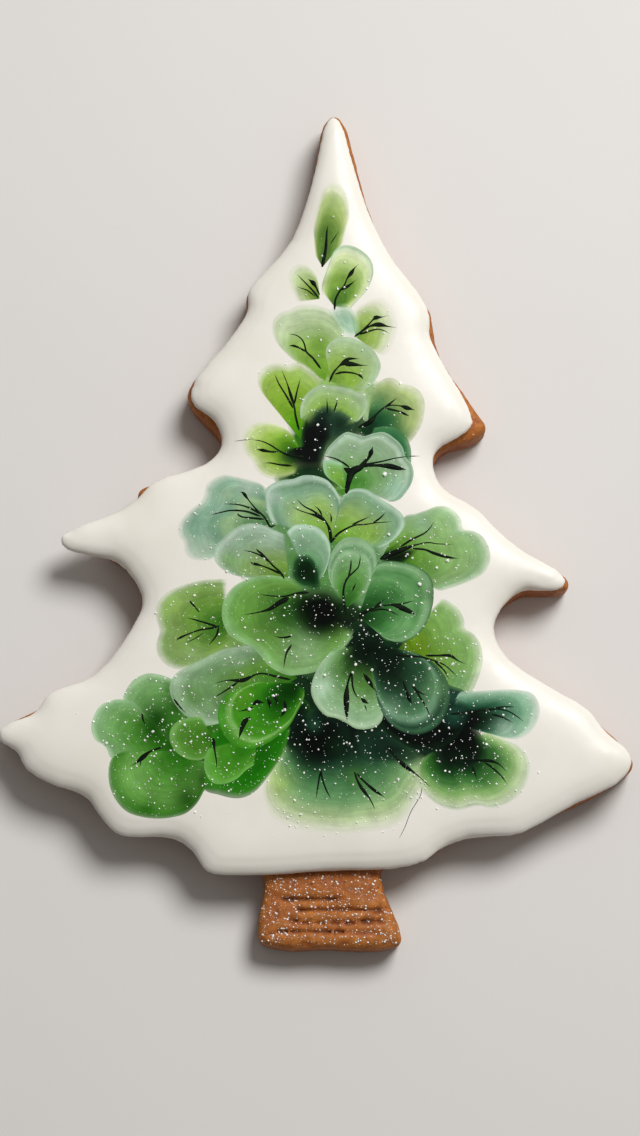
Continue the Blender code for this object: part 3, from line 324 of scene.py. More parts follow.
# Large sugar grains, as x,y,width.
BIG_GRAINS = """
11.4,7.6,.45 17.1,-10.9,.4 21.7,-7,.35 12,-2.6,.35 1.4,-26.1,.35 22.5,-24.2,.3 18.6,-25,.28 24.3,-25.5,.28
6.5,-24.3,.3 6,-25.6,.28 9.2,-25.2,.3 2.2,28.5,.28 .8,30.4,.26 6.6,38,.26 .3,15.9,.3 -20,-12.8,.28
-14.7,-8.8,.28 -34.3,-37.3,.32 -21.5,-34.3,.3 -10.9,-31.7,.36 -7,-29.5,.32 -5.1,-31.8,.3 -26.7,-35.4,.3
-12.1,-26,.3 13.4,-43.2,.3 27.9,-37.5,.32 -3.5,-46.7,.3 -2.5,-49,.3 19.9,-8.2,.32
"""
BIG_GRAIN_GROWTH = 1.6  # large grains are laid this much wider, to stand out among the strewn ones


def linear(colour):
    """An sRGB colour, as #RRGGBB or RRGGBB, in linear shares of red, green and blue."""
    digits = colour.lstrip("#")
    shares = np.array([int(digits[i:i + 2], 16) / 255 for i in (0, 2, 4)])
    return np.where(shares <= 0.04045, shares / 12.92, ((shares + 0.055) / 1.055) ** 2.4)


def length_property(name, what, default_mm):
    return FloatProperty(name=name, description=what, default=default_mm * MM, unit="LENGTH", precision=6)


def colour_property(name, what, colour):
    shares = tuple(linear(colour))
    return FloatVectorProperty(name=name, description=what, default=shares, subtype="COLOR", min=0, max=1)


class CookieSizes(bpy.types.PropertyGroup):
    """Sizes that a baker would change."""

    icing_skin: length_property("Icing mesh step", "Distance between points on the icing", 0.42)
    biscuit_skin: length_property("Biscuit mesh step", "Distance between points on the biscuit", 0.44)
    icing_wave: length_property("Icing unevenness", "How far the flooded icing rises and falls", 0.035)
    crumb: length_property("Crumb", "How far the baked crust stands up and sinks", 0.07)
    paint_coat: length_property("Paint coat", "Thickness that each painted leaf adds", 0.016)
    paint_depth: length_property("Paint depth", "How far a leaf's coat reaches down", 0.12)
    grain_small: length_property("Smallest grain", "Smallest sugar grain", 0.09)
    grain_large: length_property("Largest grain", "Largest strewn sugar grain", 0.36)
    foliage_grains: IntProperty(
        name="Grains on foliage", description="Sugar grains strewn on the leaves", default=3000, min=0)
    trunk_grains: IntProperty(
        name="Grains on the stem", description="Sugar grains strewn on the bare biscuit", default=760, min=0)


class CookieColours(bpy.types.PropertyGroup):
    """Colours that a baker would change."""

    icing: colour_property("Icing", "Dried royal icing", "#EDE9E0")
    icing_thin: colour_property("Icing, warmer", "Royal icing where it dried a little warmer", "#E8E4D8")
    crust: colour_property("Crust", "Gingerbread crust", "#A9591C")
    # The light crust also gives painted highlight on raised places. The dark crust also gives painted shade in
    # hollows and pores, and partly on the side walls.
    crust_light_and_highlight: colour_property("Light crust", "Crust on raised places", "#CE8434")
    crust_dark_and_shade: colour_property("Dark crust", "Crust at baked edges and in hollows", "#56260A")
    twig: colour_property("Twig paint", "Nearly black green", "#0B110C")
    sugar: colour_property("Sugar", "Sugar crystals", "#FBF9F4")
    floor: colour_property("Floor", "Plain pale floor", "#DDDAD6")


def sizes():
    return bpy.context.scene.cookie_sizes


def colours():
    return bpy.context.scene.cookie_colours


# ---- Materials ----


def add(tree, kind, inputs=None, out=0, **settings):
    """Adds one node with its settings, values and links, and gives back one of its outputs."""
    made = tree.nodes.new(kind)
    for name, value in settings.items():
        setattr(made, name, value)
    for name, value in (inputs or {}).items():
        if isinstance(value, bpy.types.NodeSocket):
            tree.links.new(value, made.inputs[name])
        else:
            made.inputs[name].default_value = value
    return made.outputs[out] if made.outputs else None


def new_material(name):
    """A new material with its empty tree, and the coordinates on its piece."""
    material = bpy.data.materials.new(name)
    material.use_nodes = True
    tree = material.node_tree
    tree.nodes.clear()
    return material, tree, add(tree, "ShaderNodeTexCoord", out="Object")


def finish_material(tree, shader):
    """Ends a material's tree with its shader."""
    add(tree, "ShaderNodeOutputMaterial", {"Surface": add(tree, "ShaderNodeBsdfPrincipled", shader)})


def opaque(colour):
    return (*colour, 1.0)


def scale_for(size_mm):
    """The scale of a pattern whose features are size_mm across."""
    return 1 / (size_mm * MM)


def cloudy(tree, where, size_mm, low, high, seen=(0.3, 0.7), detail=2.0, roughness=0.5):
    """Soft patches about size_mm across, which run from low to high."""
    pattern = {"Vector": where, "Scale": scale_for(size_mm), "Detail": detail, "Roughness": roughness}
    value = add(tree, "ShaderNodeTexNoise", pattern)
    ends = {"Value": value, "From Min": seen[0], "From Max": seen[1], "To Min": low, "To Max": high}
    return add(tree, "ShaderNodeMapRange", ends)


def royal_icing():
    # Royal icing, flooded and air-dried: a smooth white with a satin shine, a little warmer in patches.
    material, tree, where = new_material("royal_icing")
    warmer = cloudy(tree, where, 11, 0, 1, seen=(0.35, 0.65))
    tones = {0: warmer, 6: opaque(colours().icing), 7: opaque(colours().icing_thin)}
    dried = add(tree, "ShaderNodeTexNoise", {"Vector": where, "Scale": scale_for(1.4), "Detail": 3})
    finish_material(tree, {
        "Base Color": add(tree, "ShaderNodeMix", tones, out=2, data_type="RGBA"),
        "Roughness": cloudy(tree, where, 3, 0.3, 0.42),
        "Normal": add(tree, "ShaderNodeBump", {"Height": dried, "Strength": 0.25, "Distance": 0.05 * MM}),
        "IOR": 1.48,
        "Specular IOR Level": 0.35,
    })
    return material


def gingerbread_crust():
    # Gingerbread, rolled and baked: dry brown crust with fine crumb, painted shade in its pores, and browner
    # edges with painted shade.
    material, tree, where = new_material("gingerbread_crust")
    # The 'baked' colours on the points hold the crust's own tones with painted shade and painted highlight in
    # them.
    baked = add(tree, "ShaderNodeAttribute", attribute_name="baked")
    light, dark = opaque(colours().crust_light_and_highlight), opaque(colours().crust_dark_and_shade)
    # Pores are darkened with painted shade.
    near = add(tree, "ShaderNodeTexVoronoi", {"Vector": where, "Scale": scale_for(1.3)}, out="Distance")
    pores = {"Value": near, "From Min": 0.08, "From Max": 0.2, "To Min": 0.7, "To Max": 0}
    tone = baked
    for share, toward in (
        (cloudy(tree, where, 4.5, 0, 0.35, detail=4), light),
        (cloudy(tree, where, 0.9, 0.55, 0, seen=(0.35, 0.7), detail=5, roughness=0.65), dark),
        (add(tree, "ShaderNodeMapRange", pores), dark),
    ):
        tone = add(tree, "ShaderNodeMix", {0: share, 6: tone, 7: toward}, out=2, data_type="RGBA")
    crumb = {"Vector": where, "Scale": scale_for(0.7), "Detail": 5, "Roughness": 0.7}
    crumb = add(tree, "ShaderNodeTexNoise", crumb)
    finish_material(tree, {
        "Base Color": tone,
        "Roughness": cloudy(tree, where, 1.2, 0.55, 0.8),
        "Normal": add(tree, "ShaderNodeBump", {"Height": crumb, "Strength": 0.7, "Distance": 0.18 * MM}),
        "IOR": 1.45,
    })
    return material


def brushed_food_paint():
    # Food paint brushed on dry icing: thin glaze with streaks that follow the leaf's rim, slightly glossy.
    material, tree, where = new_material("brushed_food_paint")
    paint = add(tree, "ShaderNodeAttribute", attribute_name="paint")
    strokes = add(tree, "ShaderNodeUVMap", uv_map="strokes")  # in mm along and across the rim
    # Bristle marks are 9 mm long and about 0.5 mm apart, and bands of wash are 14 mm long and 1.8 mm wide.
    bristles = add(tree, "ShaderNodeMapping", {"Vector": strokes, "Scale": (1 / 9, 1 / 0.55, 1)})
    streak = {"Vector": bristles, "Scale": 1.0, "Detail": 3.0, "Roughness": 0.6}
    streak = add(tree, "ShaderNodeTexNoise", streak)
    bands = add(tree, "ShaderNodeMapping", {"Vector": strokes, "Scale": (1 / 14, 1 / 1.8, 1)})
    wash = add(tree, "ShaderNodeTexNoise", {"Vector": bands, "Scale": 1.0, "Detail": 2.0})
    washed = {"Value": wash, "From Min": 0.3, "From Max": 0.7, "To Min": 0.92, "To Max": 1.08}
    marked = {"Value": streak, "From Min": 0.3, "From Max": 0.72, "To Min": 0.88, "To Max": 1.12}
    washed, marked = (add(tree, "ShaderNodeMapRange", ends) for ends in (washed, marked))
    depth = add(tree, "ShaderNodeMath", {0: washed, 1: marked}, operation="MULTIPLY")
    mottled = cloudy(tree, where, 2.4, 0.86, 1.14, detail=4, roughness=0.6)
    depth = add(tree, "ShaderNodeMath", {0: depth, 1: mottled}, operation="MULTIPLY")
    streaked = add(tree, "ShaderNodeVectorMath", {0: paint, "Scale": depth}, operation="SCALE")
    # Where the glaze is nearly white the icing shows through unstreaked.
    blue = add(tree, "ShaderNodeSeparateColor", {0: paint}, out="Blue")
    pale = add(tree, "ShaderNodeMapRange", {"Value": blue, "From Min": 0.45, "From Max": 0.66})
    shine = {"Value": streak, "From Min": 0.3, "From Max": 0.7, "To Min": 0.34, "To Max": 0.48}
    finish_material(tree, {
        "Base Color": add(tree, "ShaderNodeMix", {0: pale, 6: streaked, 7: paint}, out=2, data_type="RGBA"),
        "Roughness": add(tree, "ShaderNodeMapRange", shine),
        "Normal": add(tree, "ShaderNodeBump", {"Height": streak, "Strength": 0.2, "Distance": 0.04 * MM}),
        "IOR": 1.45,
        "Specular IOR Level": 0.04,
    })
    return material


def two_tones(name, first, second, patch, shine, **constants):
    """A plain finish: patches of a second colour in the first, and a shine that varies a little.
    Patches are given as size in mm and the range of their strength, and shine as size and roughness."""
    material, tree, where = new_material(name)
    tones = {0: cloudy(tree, where, *patch), 6: opaque(first), 7: opaque(second)}
    tone = add(tree, "ShaderNodeMix", tones, out=2, data_type="RGBA")
    roughness = cloudy(tree, where, *shine) if shine else FLOOR_ROUGHNESS
    finish_material(tree, {"Base Color": tone, "Roughness": roughness, **constants})
    return material


def liner_food_paint():
    # Thick dark food paint laid with a liner brush: nearly black, with a low shine.
    patch, shine = (1.5, 0, 0.6, (0.4, 0.7), 3), (0.6, 0.4, 0.55)
    constants = {"IOR": 1.45, "Specular IOR Level": 0.04}
    return two_tones("liner_food_paint", colours().twig, linear("#1A2A18"), patch, shine, **constants)


def sugar_crystal():
    # Sugar crystals: small white grains whose faces glint.
    patch, shine = (0.7, 0, 0.5), (0.3, 0.15, 0.35)
    return two_tones("sugar_crystal", colours().sugar, linear("#E9EEE9"), patch, shine, IOR=1.54)


def matt_board():
    # Smooth matt board: even and pale, with no gloss.
    return two_tones("matt_board", colours().floor, linear("#DAD6D2"), (40, 0, 0.4), None, IOR=1.45)


# ---- Mesh tools ----


def only(*objects):
    """Selects these objects and nothing else, and makes the first one active."""
    bpy.ops.object.select_all(action="DESELECT")
    for o in objects:
        o.select_set(True)
    bpy.context.view_layer.objects.active = objects[0]


def merge_points(piece, distance):
    """Welds a piece's points that lie together."""
    only(piece)
    bpy.ops.object.mode_set(mode="EDIT")
    bpy.ops.mesh.select_all(action="SELECT")
    bpy.ops.mesh.remove_doubles(threshold=distance)
    bpy.ops.object.mode_set(mode="OBJECT")


def read(items, what, per=3, kind=float):
    """What each of a mesh's points, edges or corners holds, a row for each."""
    found = np.empty(len(items) * per, kind)
    items.foreach_get(what, found)
    return found.reshape(-1, per)


def set_points(mesh, points):
    mesh.vertices.foreach_set("co", np.ascontiguousarray(points, float).ravel())
    mesh.update()


def paint_points(mesh, name, colour):
    """Stores a linear colour at every point."""
    layer = mesh.attributes.new(name, "FLOAT_COLOR", "POINT")
    layer.data.foreach_set("color", np.column_stack([colour, np.ones(len(colour))]).ravel())


def neighbour_mean(values, edges):
    """The mean of each point's neighbours, for one or more columns of values."""
    a, b = edges[:, 0], edges[:, 1]
    count = len(values)
    shared = np.bincount(a, minlength=count) + np.bincount(b, minlength=count)
    sums = [np.bincount(a, column[b], count) + np.bincount(b, column[a], count) for column in values.T]
    return np.stack(sums, axis=1) / np.maximum(shared, 1)[:, None]


def relax(points, edges, rounds):
    """Smooths facets away and keeps the volume: each round shrinks a little and swells as much."""
    for _ in range(rounds):
        points = points + SHRINK * (neighbour_mean(points, edges) - points)
        points = points - SWELL * (neighbour_mean(points, edges) - points)
    return points


def clouds(points, size_mm, shift=0.0):
    """Smooth noise from -1 to 1 at each point, its patches about size_mm across."""
    scaled = points / (size_mm * MM) + shift
    return np.array([noise.noise(Vector(p)) for p in scaled])


def smoothstep(low, high, values):
    t = np.clip((values - low) / (high - low), 0, 1)
    return t * t * (3 - 2 * t)


def skin_of(node, name, step):
    """An even dense skin over a copy of a CAD node."""
    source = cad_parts[node]
    piece = bpy.data.objects.new(name, source.data.copy())
    piece.data.materials.clear()
    bpy.context.scene.collection.objects.link(piece)
    merge_points(piece, SAME_POINT)
    even = piece.modifiers.new("even", "REMESH")
    even.mode = "VOXEL"
    even.voxel_size = step
    bpy.ops.object.modifier_apply(modifier=even.name)
    return piece


def finish_piece(piece, material, smooth=True):
    """Gives a piece its material and body, and smooth shading."""
    only(piece)
    piece.data.materials.clear()
    piece.data.materials.append(material)
    if smooth:
        bpy.ops.object.shade_smooth()
    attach(piece, "root")


def tree_of(name):
    """A finished piece's surface, for finding what lies under a place."""
    mesh = bpy.data.objects[name].data
    return BVHTree.FromPolygons([v.co for v in mesh.vertices], [p.vertices for p in mesh.polygons])


def surface_height(trees, xy_mm, miss):
    """The highest surface over each place, in metres."""
    down = Vector((0, 0, -1))
    heights = np.full(len(xy_mm), float(miss))
    for k, (x, y) in enumerate(xy_mm * MM):
        hits = [tree.ray_cast(Vector((x, y, ABOVE_ALL)), down)[0] for tree in trees]
        found = [hit.z for hit in hits if hit is not None]
        if found:
            heights[k] = max(found)
    return heights


# ---- Painting ----


def through(points, closed=False, per_span=12):
    """A smooth curve through given points, in short steps."""
    p = np.array(points, float)
    q = np.vstack([p[-1:], p, p[:2]]) if closed else np.vstack([2 * p[:1] - p[1:2], p, 2 * p[-1:] - p[-2:-1]])
    t = (np.arange(per_span) / per_span)[:, None]
    spans = [
        0.5 * (2 * b + (c - a) * t + (2 * a - 5 * b + 4 * c - d) * t**2 + (3 * b - a - 3 * c + d) * t**3)
        for a, b, c, d in zip(q, q[1:], q[2:], q[3:])
    ]
    return np.vstack([*spans, p[:1] if closed else p[-1:]])


def along(curve, shares):
    """The curve's points at shares of its length, and that length."""
    run = np.concatenate([[0], np.cumsum(np.linalg.norm(np.diff(curve[:, :2], axis=0), axis=1))])
    return np.stack([np.interp(shares * run[-1], run, column) for column in curve.T], axis=-1), run[-1]


class Canvas:
    """What the brush has left so far: the colour seen at each place, and how many coats lie there."""

    def __init__(self, ground):
        self.colour = np.tile(np.asarray(ground, float), (*CANVAS_CELLS, 1))
        self.coats = np.zeros(CANVAS_CELLS)

    def cell(self, xy):
        cells = np.round((xy - CANVAS_LOW) / CANVAS_STEP).astype(int)
        last = np.array(CANVAS_CELLS) - 1 - CANVAS_MARGIN
        return tuple(np.clip(cells[..., k], CANVAS_MARGIN, last[k]) for k in (0, 1))

    def cover(self, xy, colour):
        """Paints places, and counts one more coat there and close around them."""
        i, j = self.cell(xy)
        self.colour[i, j] = colour
        touched = np.zeros(CANVAS_CELLS, bool)
        around = range(-CANVAS_MARGIN, CANVAS_MARGIN + 1)
        for di in around:
            for dj in around:
                touched[i + di, j + dj] = True
        self.coats += touched

    def coats_at(self, xy):
        i, j = self.cell(xy)
        return sum(self.coats[i + di, j + dj] for di in (-1, 0, 1) for dj in (-1, 0, 1)) / 9


def written_leaves(text):
    """The words of each leaf in a text, from its tier's name to the next one."""
    leaves = []
    for word in text.split():
        if word in DRIES_DEEPER:
            leaves.append([])
        leaves[-1].append(word)
    return leaves


class Leaf:
    """One painted leaf: a fan between its base and its rim."""

    def __init__(self, number, tier, base, *words):
        self.tier, self.number = tier, number
        rim_points = places(" ".join(w for w in words if ":" not in w))
        self.closed = base == "-"
        self.base = np.mean(rim_points, axis=0) if self.closed else np.array(places(base)[0])
        self.curve = through(rim_points, self.closed)
        if self.turn() < 0:
            self.curve = self.curve[::-1]
        if not self.closed:
            # A rim that curls back at its ends would fold the fan over itself, so it stops where it turns.
            way = self.curve - self.base
            angle = np.unwrap(np.arctan2(way[:, 1], way[:, 0]))
            self.curve = self.curve[angle.argmin():angle.argmax() + 1]
        rows = [w.split(":") for w in words if ":" in w and "," not in w]
        self.at = [float(r[0]) for r in rows]
        self.tints = np.array([self.dried(linear(r[1])) for r in rows])
        self.covers = [float(r[2]) if len(r) > 2 else 1.0 for r in rows]
        self.glows = []
        for place, radius, tint, strength in (w.split(":") for w in words if ":" in w and "," in w):
            glow = self.dried(linear(tint))
            self.glows.append((np.array(places(place)[0]), float(radius), glow, float(strength)))
        self.phases = np.random.default_rng(400 + number).random(3) * 2 * math.pi

    def dried(self, tint):
        """A glaze dries deeper than it was mixed, unless it is nearly white."""
        deeper = tint ** DRIES_DEEPER[self.tier]
        return deeper + (tint - deeper) * smoothstep(0.4, 0.7, tint.mean())

    def turn(self):
        a, b = self.curve[:-1] - self.base, self.curve[1:] - self.base
        return np.sum(a[:, 0] * b[:, 1] - a[:, 1] * b[:, 0])

    def at_shares(self, u, v):
        """Places in mm at shares u along the rim and v from base to rim."""
        rim, length = along(self.curve, u)
        out = rim - self.base
        return self.base + out * v[:, None], length, np.linalg.norm(out, axis=1)

    def cover_at(self, u, v):
        """How much of what lies under is hidden there: less towards soft rims and the fan's two sides."""
        cover = np.interp(v, self.at, self.covers)
        return cover if self.closed else cover * smoothstep(0, SOFT_SIDES, np.minimum(u, 1 - u))

    def colour_at(self, u, v, xy, canvas):
        """The colour seen there: the leaf's glaze over what was painted before."""
        waves = sum(
            size * np.sin(2 * math.pi * turns * u + phase)
            for size, turns, phase in zip(BAND_WAVES, BAND_TURNS, self.phases)
        )
        place = np.clip(v + waves * v * (1 - v) * 3, 0, 1)
        tint = np.stack([np.interp(place, self.at, column) for column in self.tints.T], axis=1)
        cover = self.cover_at(u, v)[:, None]
        for centre, radius, glow, strength in self.glows:
            share = (strength * np.exp(-np.sum((xy - centre) ** 2, axis=1) / radius**2))[:, None]
            tint = tint * (1 - share) + glow * share
        i, j = canvas.cell(xy)
        return canvas.colour[i, j] * (1 - cover) + tint * cover

    def model(self, canvas, ground):
        """The leaf as a thin coat that lies on what is under it."""
        bpy.ops.object.select_all(action="DESELECT")
        along_rim, to_rim = LEAF_STEPS
        bpy.ops.mesh.primitive_grid_add(x_subdivisions=along_rim, y_subdivisions=to_rim, size=2)
        piece = bpy.context.object
        mesh = piece.data
        flat = read(mesh.vertices, "co")
        u, v = np.clip(flat[:, 0] / 2 + 0.5, 0, 1), np.clip(flat[:, 1] / 2 + 0.5, 0, 1)
        # Rims run counter-clockwise, against the grid's own direction, so the fan is turned to face up.
        u = 1 - u
        xy, length, reach = self.at_shares(u, v)
        laid, coats = smoothstep(0, 0.35, self.cover_at(u, v)), canvas.coats_at(xy)
        # Each coat lies on those below, and a soft edge on bare icing sinks into it.
        coats = 1 + coats - 1.6 * (1 - laid) * (coats < 0.5)
        height = surface_height([ground], xy, ICING_HIGH.z) + sizes().paint_coat * coats
        seen = self.colour_at(u, v, xy, canvas)
        strokes = np.column_stack([u * length, v * reach.mean()])
        mesh.uv_layers[0].name = "strokes"
        corners = read(mesh.loops, "vertex_index", 1, np.int64)[:, 0]
        mesh.uv_layers[0].data.foreach_set("uv", (strokes[corners] + self.number * 3.7).ravel())
        set_points(mesh, np.column_stack([xy * MM, height]))
        paint_points(mesh, "paint", seen)
        merge_points(piece, LEAF_WELD)
        coat = piece.modifiers.new("coat", "SOLIDIFY")
        coat.thickness, coat.offset = sizes().paint_depth, -1.0
        bpy.ops.object.modifier_apply(modifier=coat.name)
        # The coat's underside lies straight below its top.
        shell = read(mesh.vertices, "co")
        half = len(shell) // 2
        shell[half:] = shell[:half] - [0, 0, sizes().paint_depth]
        set_points(mesh, shell)
        fine_u, fine_v = np.meshgrid(*(np.linspace(0, 1, steps) for steps in PAINT_STEPS))
        fine_u, fine_v = fine_u.ravel(), fine_v.ravel()
        fine_xy = self.at_shares(fine_u, fine_v)[0]
        canvas.cover(fine_xy, self.colour_at(fine_u, fine_v, fine_xy, canvas))
        return piece


# ---- Operators ----


class COOKIE_OT_stage(bpy.types.Operator):
    """Floor, lamps and camera"""

    bl_idname = "cookie.stage"
    bl_label = "Stage"

    def execute(self, context):
        bpy.ops.object.select_all(action="DESELECT")
        bpy.ops.mesh.primitive_plane_add(size=FLOOR_SIZE, location=(0, 0, 0))
        floor = context.object
        floor.name = "floor"
        floor.data.materials.append(matt_board())

        scene = context.scene
        scene.view_settings.view_transform = "Standard"
        world = bpy.data.worlds.new("soft_room")
        scene.world = world
        world.use_nodes = True
        tree = world.node_tree
        tree.nodes.clear()
        rays = add(tree, "ShaderNodeLightPath").node.outputs
        seen = rays["Is Camera Ray"]
        for ray in ("Is Glossy Ray", "Is Transmission Ray"):
            seen = add(tree, "ShaderNodeMath", {0: seen, 1: rays[ray]}, operation="MAXIMUM")
        # The room is brighter towards the window and dim behind the object.
        way = add(tree, "ShaderNodeTexCoord", out="Generated")
        facing = {0: way, 1: ROOM_TOWARD}
        facing = add(tree, "ShaderNodeVectorMath", facing, out="Value", operation="DOT_PRODUCT")
        ends = {"Value": facing, "From Min": -0.6, "From Max": 0.9, "To Min": 0.0, "To Max": ROOM_LIGHT}
        strength = add(tree, "ShaderNodeMapRange", ends)
        room = add(tree, "ShaderNodeBackground", {"Color": (1.0, 0.965, 0.935, 1), "Strength": strength})
        backdrop = {"Color": opaque(linear("#E2DFDB")), "Strength": BACKDROP_LIGHT}
        backdrop = add(tree, "ShaderNodeBackground", backdrop)
        mixed = add(tree, "ShaderNodeMixShader", {0: seen, 1: room, 2: backdrop})
        add(tree, "ShaderNodeOutputWorld", {"Surface": mixed})

        turned = (WINDOW - AIM).to_track_quat("Z", "Y").to_euler()
        bpy.ops.object.light_add(type="AREA", location=WINDOW, rotation=turned)
        lamp = context.object.data
        lamp.shape, lamp.size, lamp.energy = "DISK", WINDOW_WIDTH, WINDOW_POWER

        place = AIM + Vector((0, -math.sin(CAMERA_TILT), math.cos(CAMERA_TILT))) * CAMERA_AWAY
        bpy.ops.object.camera_add(location=place, rotation=(CAMERA_TILT, 0, 0))
        camera = context.object
        camera.data.sensor_fit, camera.data.sensor_height = "VERTICAL", FILM_HEIGHT
        camera.data.lens = FILM_HEIGHT * CAMERA_AWAY / VIEW_HEIGHT
        camera.data.clip_start = 0.01
        scene.camera = camera
        return {"FINISHED"}


class COOKIE_OT_biscuit(bpy.types.Operator):
    """The gingerbread biscuit, with its crumb, baked edges darkened further with painted shade, painted shade in
    its hollows, painted highlight on raised places, and scored stem
    """

    bl_idname = "cookie.biscuit"
    bl_label = "Biscuit"

    def execute(self, context):
        piece = skin_of("biscuit", "gingerbread_biscuit", sizes().biscuit_skin)
        mesh = piece.data
        edges = read(mesh.edges, "vertices", 2, np.int64)
        points = relax(read(mesh.vertices, "co"), edges, CRUST_SMOOTHING)
        set_points(mesh, points)
        normals = read(mesh.vertices, "normal")
        broad = points
        for _ in range(HOLLOW_BREADTH):
            broad = broad + 0.6 * (neighbour_mean(broad, edges) - broad)
        hollow = np.sum((broad - points) * normals, axis=1) / MM
        on_stem = smoothstep(TRUNK_TOP + 1 * MM, TRUNK_TOP - 2 * MM, points[:, 1])
        on_stem *= smoothstep(0.5, 0.8, normals[:, 2])
        bumps = clouds(points, 2.6) * 1.2 + clouds(points, 1.1, 9) * 0.8
        depth = sizes().crumb * bumps - on_stem * np.clip(hollow, 0, 0.3) * GROOVE_DEPTH * MM
        depth *= smoothstep(0.0, 0.5 * MM, points[:, 2])
        set_points(mesh, points + normals * depth[:, None])

        tint = colours()
        crust, light, dark = (np.array(c) for c in (tint.crust, tint.crust_light_and_highlight, tint.crust_dark_and_shade))
        # Painted light in the crust's colours: the side walls are darker, partly browner from baking and partly
        # painted shade; raised places get painted highlight; hollows and the stem's grooves get painted shade;
        # and the underside is darker.
        side = smoothstep(0.75, 0.2, np.abs(normals[:, 2]))
        raised = smoothstep(0.03, -0.16, hollow - bumps * 0.02)
        sunk = smoothstep(0.02, 0.14, hollow - bumps * 0.02)
        under = smoothstep(-0.3, -0.9, normals[:, 2])
        colour = np.tile(crust, (len(points), 1))
        shares = ((side * 0.45, dark), (raised * 0.5, light), (sunk * 0.95, dark), (under * 0.35, dark))
        for share, toward in shares:
            colour = colour * (1 - share[:, None]) + toward * share[:, None]
        # These colours carry painted shade and painted highlight as well as the crust's own tones.
        paint_points(mesh, "baked", colour)
        finish_piece(piece, gingerbread_crust())
        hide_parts("biscuit")
        return {"FINISHED"}


class COOKIE_OT_icing(bpy.types.Operator):
    """The white royal icing, whose lower lip rests on the biscuit's shoulder"""

    bl_idname = "cookie.icing"
    bl_label = "White icing"

    def execute(self, context):
        piece = skin_of("white_icing", "white_icing_skin", sizes().icing_skin)
        mesh = piece.data
        edges = read(mesh.edges, "vertices", 2, np.int64)
        points = relax(read(mesh.vertices, "co"), edges, ICING_SMOOTHING)
        # Flooded icing levels itself: its top eases down to the sides without an edge.
        level = smoothstep(ICING_EASES_FROM, ICING_EASES_TO, points[:, 2])
        for _ in range(ICING_LEVELLING):
            points[:, 2] += 0.5 * level * (neighbour_mean(points, edges) - points)[:, 2]
        set_points(mesh, points)
        normals = read(mesh.vertices, "normal")
        swell = sizes().icing_wave * (clouds(points, 15) + 0.35 * clouds(points, 5, 4))
        swell *= smoothstep(ICING_LIP_TOP, ICING_LIP_TOP + 1 * MM, points[:, 2])
        points = points + normals * swell[:, None]
        low = points[:, 2] < ICING_LIP_TOP + 0.1 * MM
        rest = np.full(len(points), float(ICING_LOW.z))
        rest[low] = surface_height([tree_of("gingerbread_biscuit")], points[low, :2] / MM, ICING_LIP_LOWEST)
        rest = np.clip(rest, ICING_LIP_LOWEST, None)
        for _ in range(LIP_EASING):
            eased = neighbour_mean(rest[:, None], edges)[:, 0]
            rest[low] = eased[low]
        lip = np.clip((points[:, 2] - ICING_LOW.z) / (ICING_LIP_TOP - ICING_LOW.z), 0, 1)
        sunk = rest - LIP_SINKS
        points[low, 2] = (sunk + lip * (ICING_LIP_TOP - sunk))[low]
        set_points(mesh, points)
        finish_piece(piece, royal_icing())
        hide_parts("white_icing")
        return {"FINISHED"}


class COOKIE_OT_leaves(bpy.types.Operator):
    """The painted leaves, coat over coat"""

    bl_idname = "cookie.leaves"
    bl_label = "Painted leaves"

    def execute(self, context):
        ground = tree_of("white_icing_skin")
        canvas = Canvas(colours().icing)
        tiers = {tier: [] for tier in DRIES_DEEPER}
        for number, words in enumerate(written_leaves(WASHES + LEAVES)):
            leaf = Leaf(number, *words)
            tiers[leaf.tier].append(leaf.model(canvas, ground))
        material = brushed_food_paint()
        for tier, leaves in tiers.items():
            only(*leaves)
            bpy.ops.object.join()
            piece = context.object
            piece.name = "leaves_" + tier
            bpy.ops.object.transform_apply(location=True, rotation=True, scale=True)
            finish_piece(piece, material, smooth=False)
            bpy.ops.object.shade_smooth_by_angle(angle=math.radians(35))
        return {"FINISHED"}


class COOKIE_OT_twigs(bpy.types.Operator):
    """The dark twigs painted on the leaves"""

    bl_idname = "cookie.twigs"
    bl_label = "Painted twigs"

    def execute(self, context):
        trees = [tree_of(n) for n in ("leaves_upper", "leaves_middle", "leaves_lower", "white_icing_skin")]
        curve = bpy.data.curves.new("painted_twigs", "CURVE")
        curve.dimensions, curve.bevel_depth = "3D", 1 * MM
        curve.bevel_resolution, curve.use_fill_caps = 1, True
        level = ICING_HIGH.z
        for text in TWIGS.split("|"):
            stroke = places(text)
            taper = np.linspace(TWIG_START_MM, TWIG_END_MM, len(stroke))
            shaped = [[p[0], p[1], p[2] if len(p) > 2 else w] for p, w in zip(stroke, taper)]
            path = through(shaped, per_span=8)
            length = along(path, np.array([0.0]))[1]
            path = along(path, np.linspace(0, 1, max(5, round(length / 0.3))))[0]
            spline = curve.splines.new("POLY")
            spline.points.add(len(path) - 1)
            for share, point, (x, y, width) in zip(np.linspace(0, 1, len(path)), spline.points, path):
                point.co = (x * MM, y * MM, level, 1)
                # A stroke sets off thinner and runs out to a point.
                taper = min(1, 0.35 + share * length, 0.12 + (1 - share) * length / 1.2)
                point.radius = max(width, TWIG_LEAST_MM) / 2 * taper
        drawn = bpy.data.objects.new("painted_twigs", curve)
        context.scene.collection.objects.link(drawn)
        only(drawn)
        bpy.ops.object.convert(target="MESH")
        piece = context.object
        points = read(piece.data.vertices, "co")
        rise = (points[:, 2] - level) * TWIG_FLATNESS
        points[:, 2] = surface_height(trees, points[:, :2] / MM, level) + rise + TWIG_STANDS
        set_points(piece.data, points)
        merge_points(piece, SAME_POINT)
        finish_piece(piece, liner_food_paint())
        return {"FINISHED"}


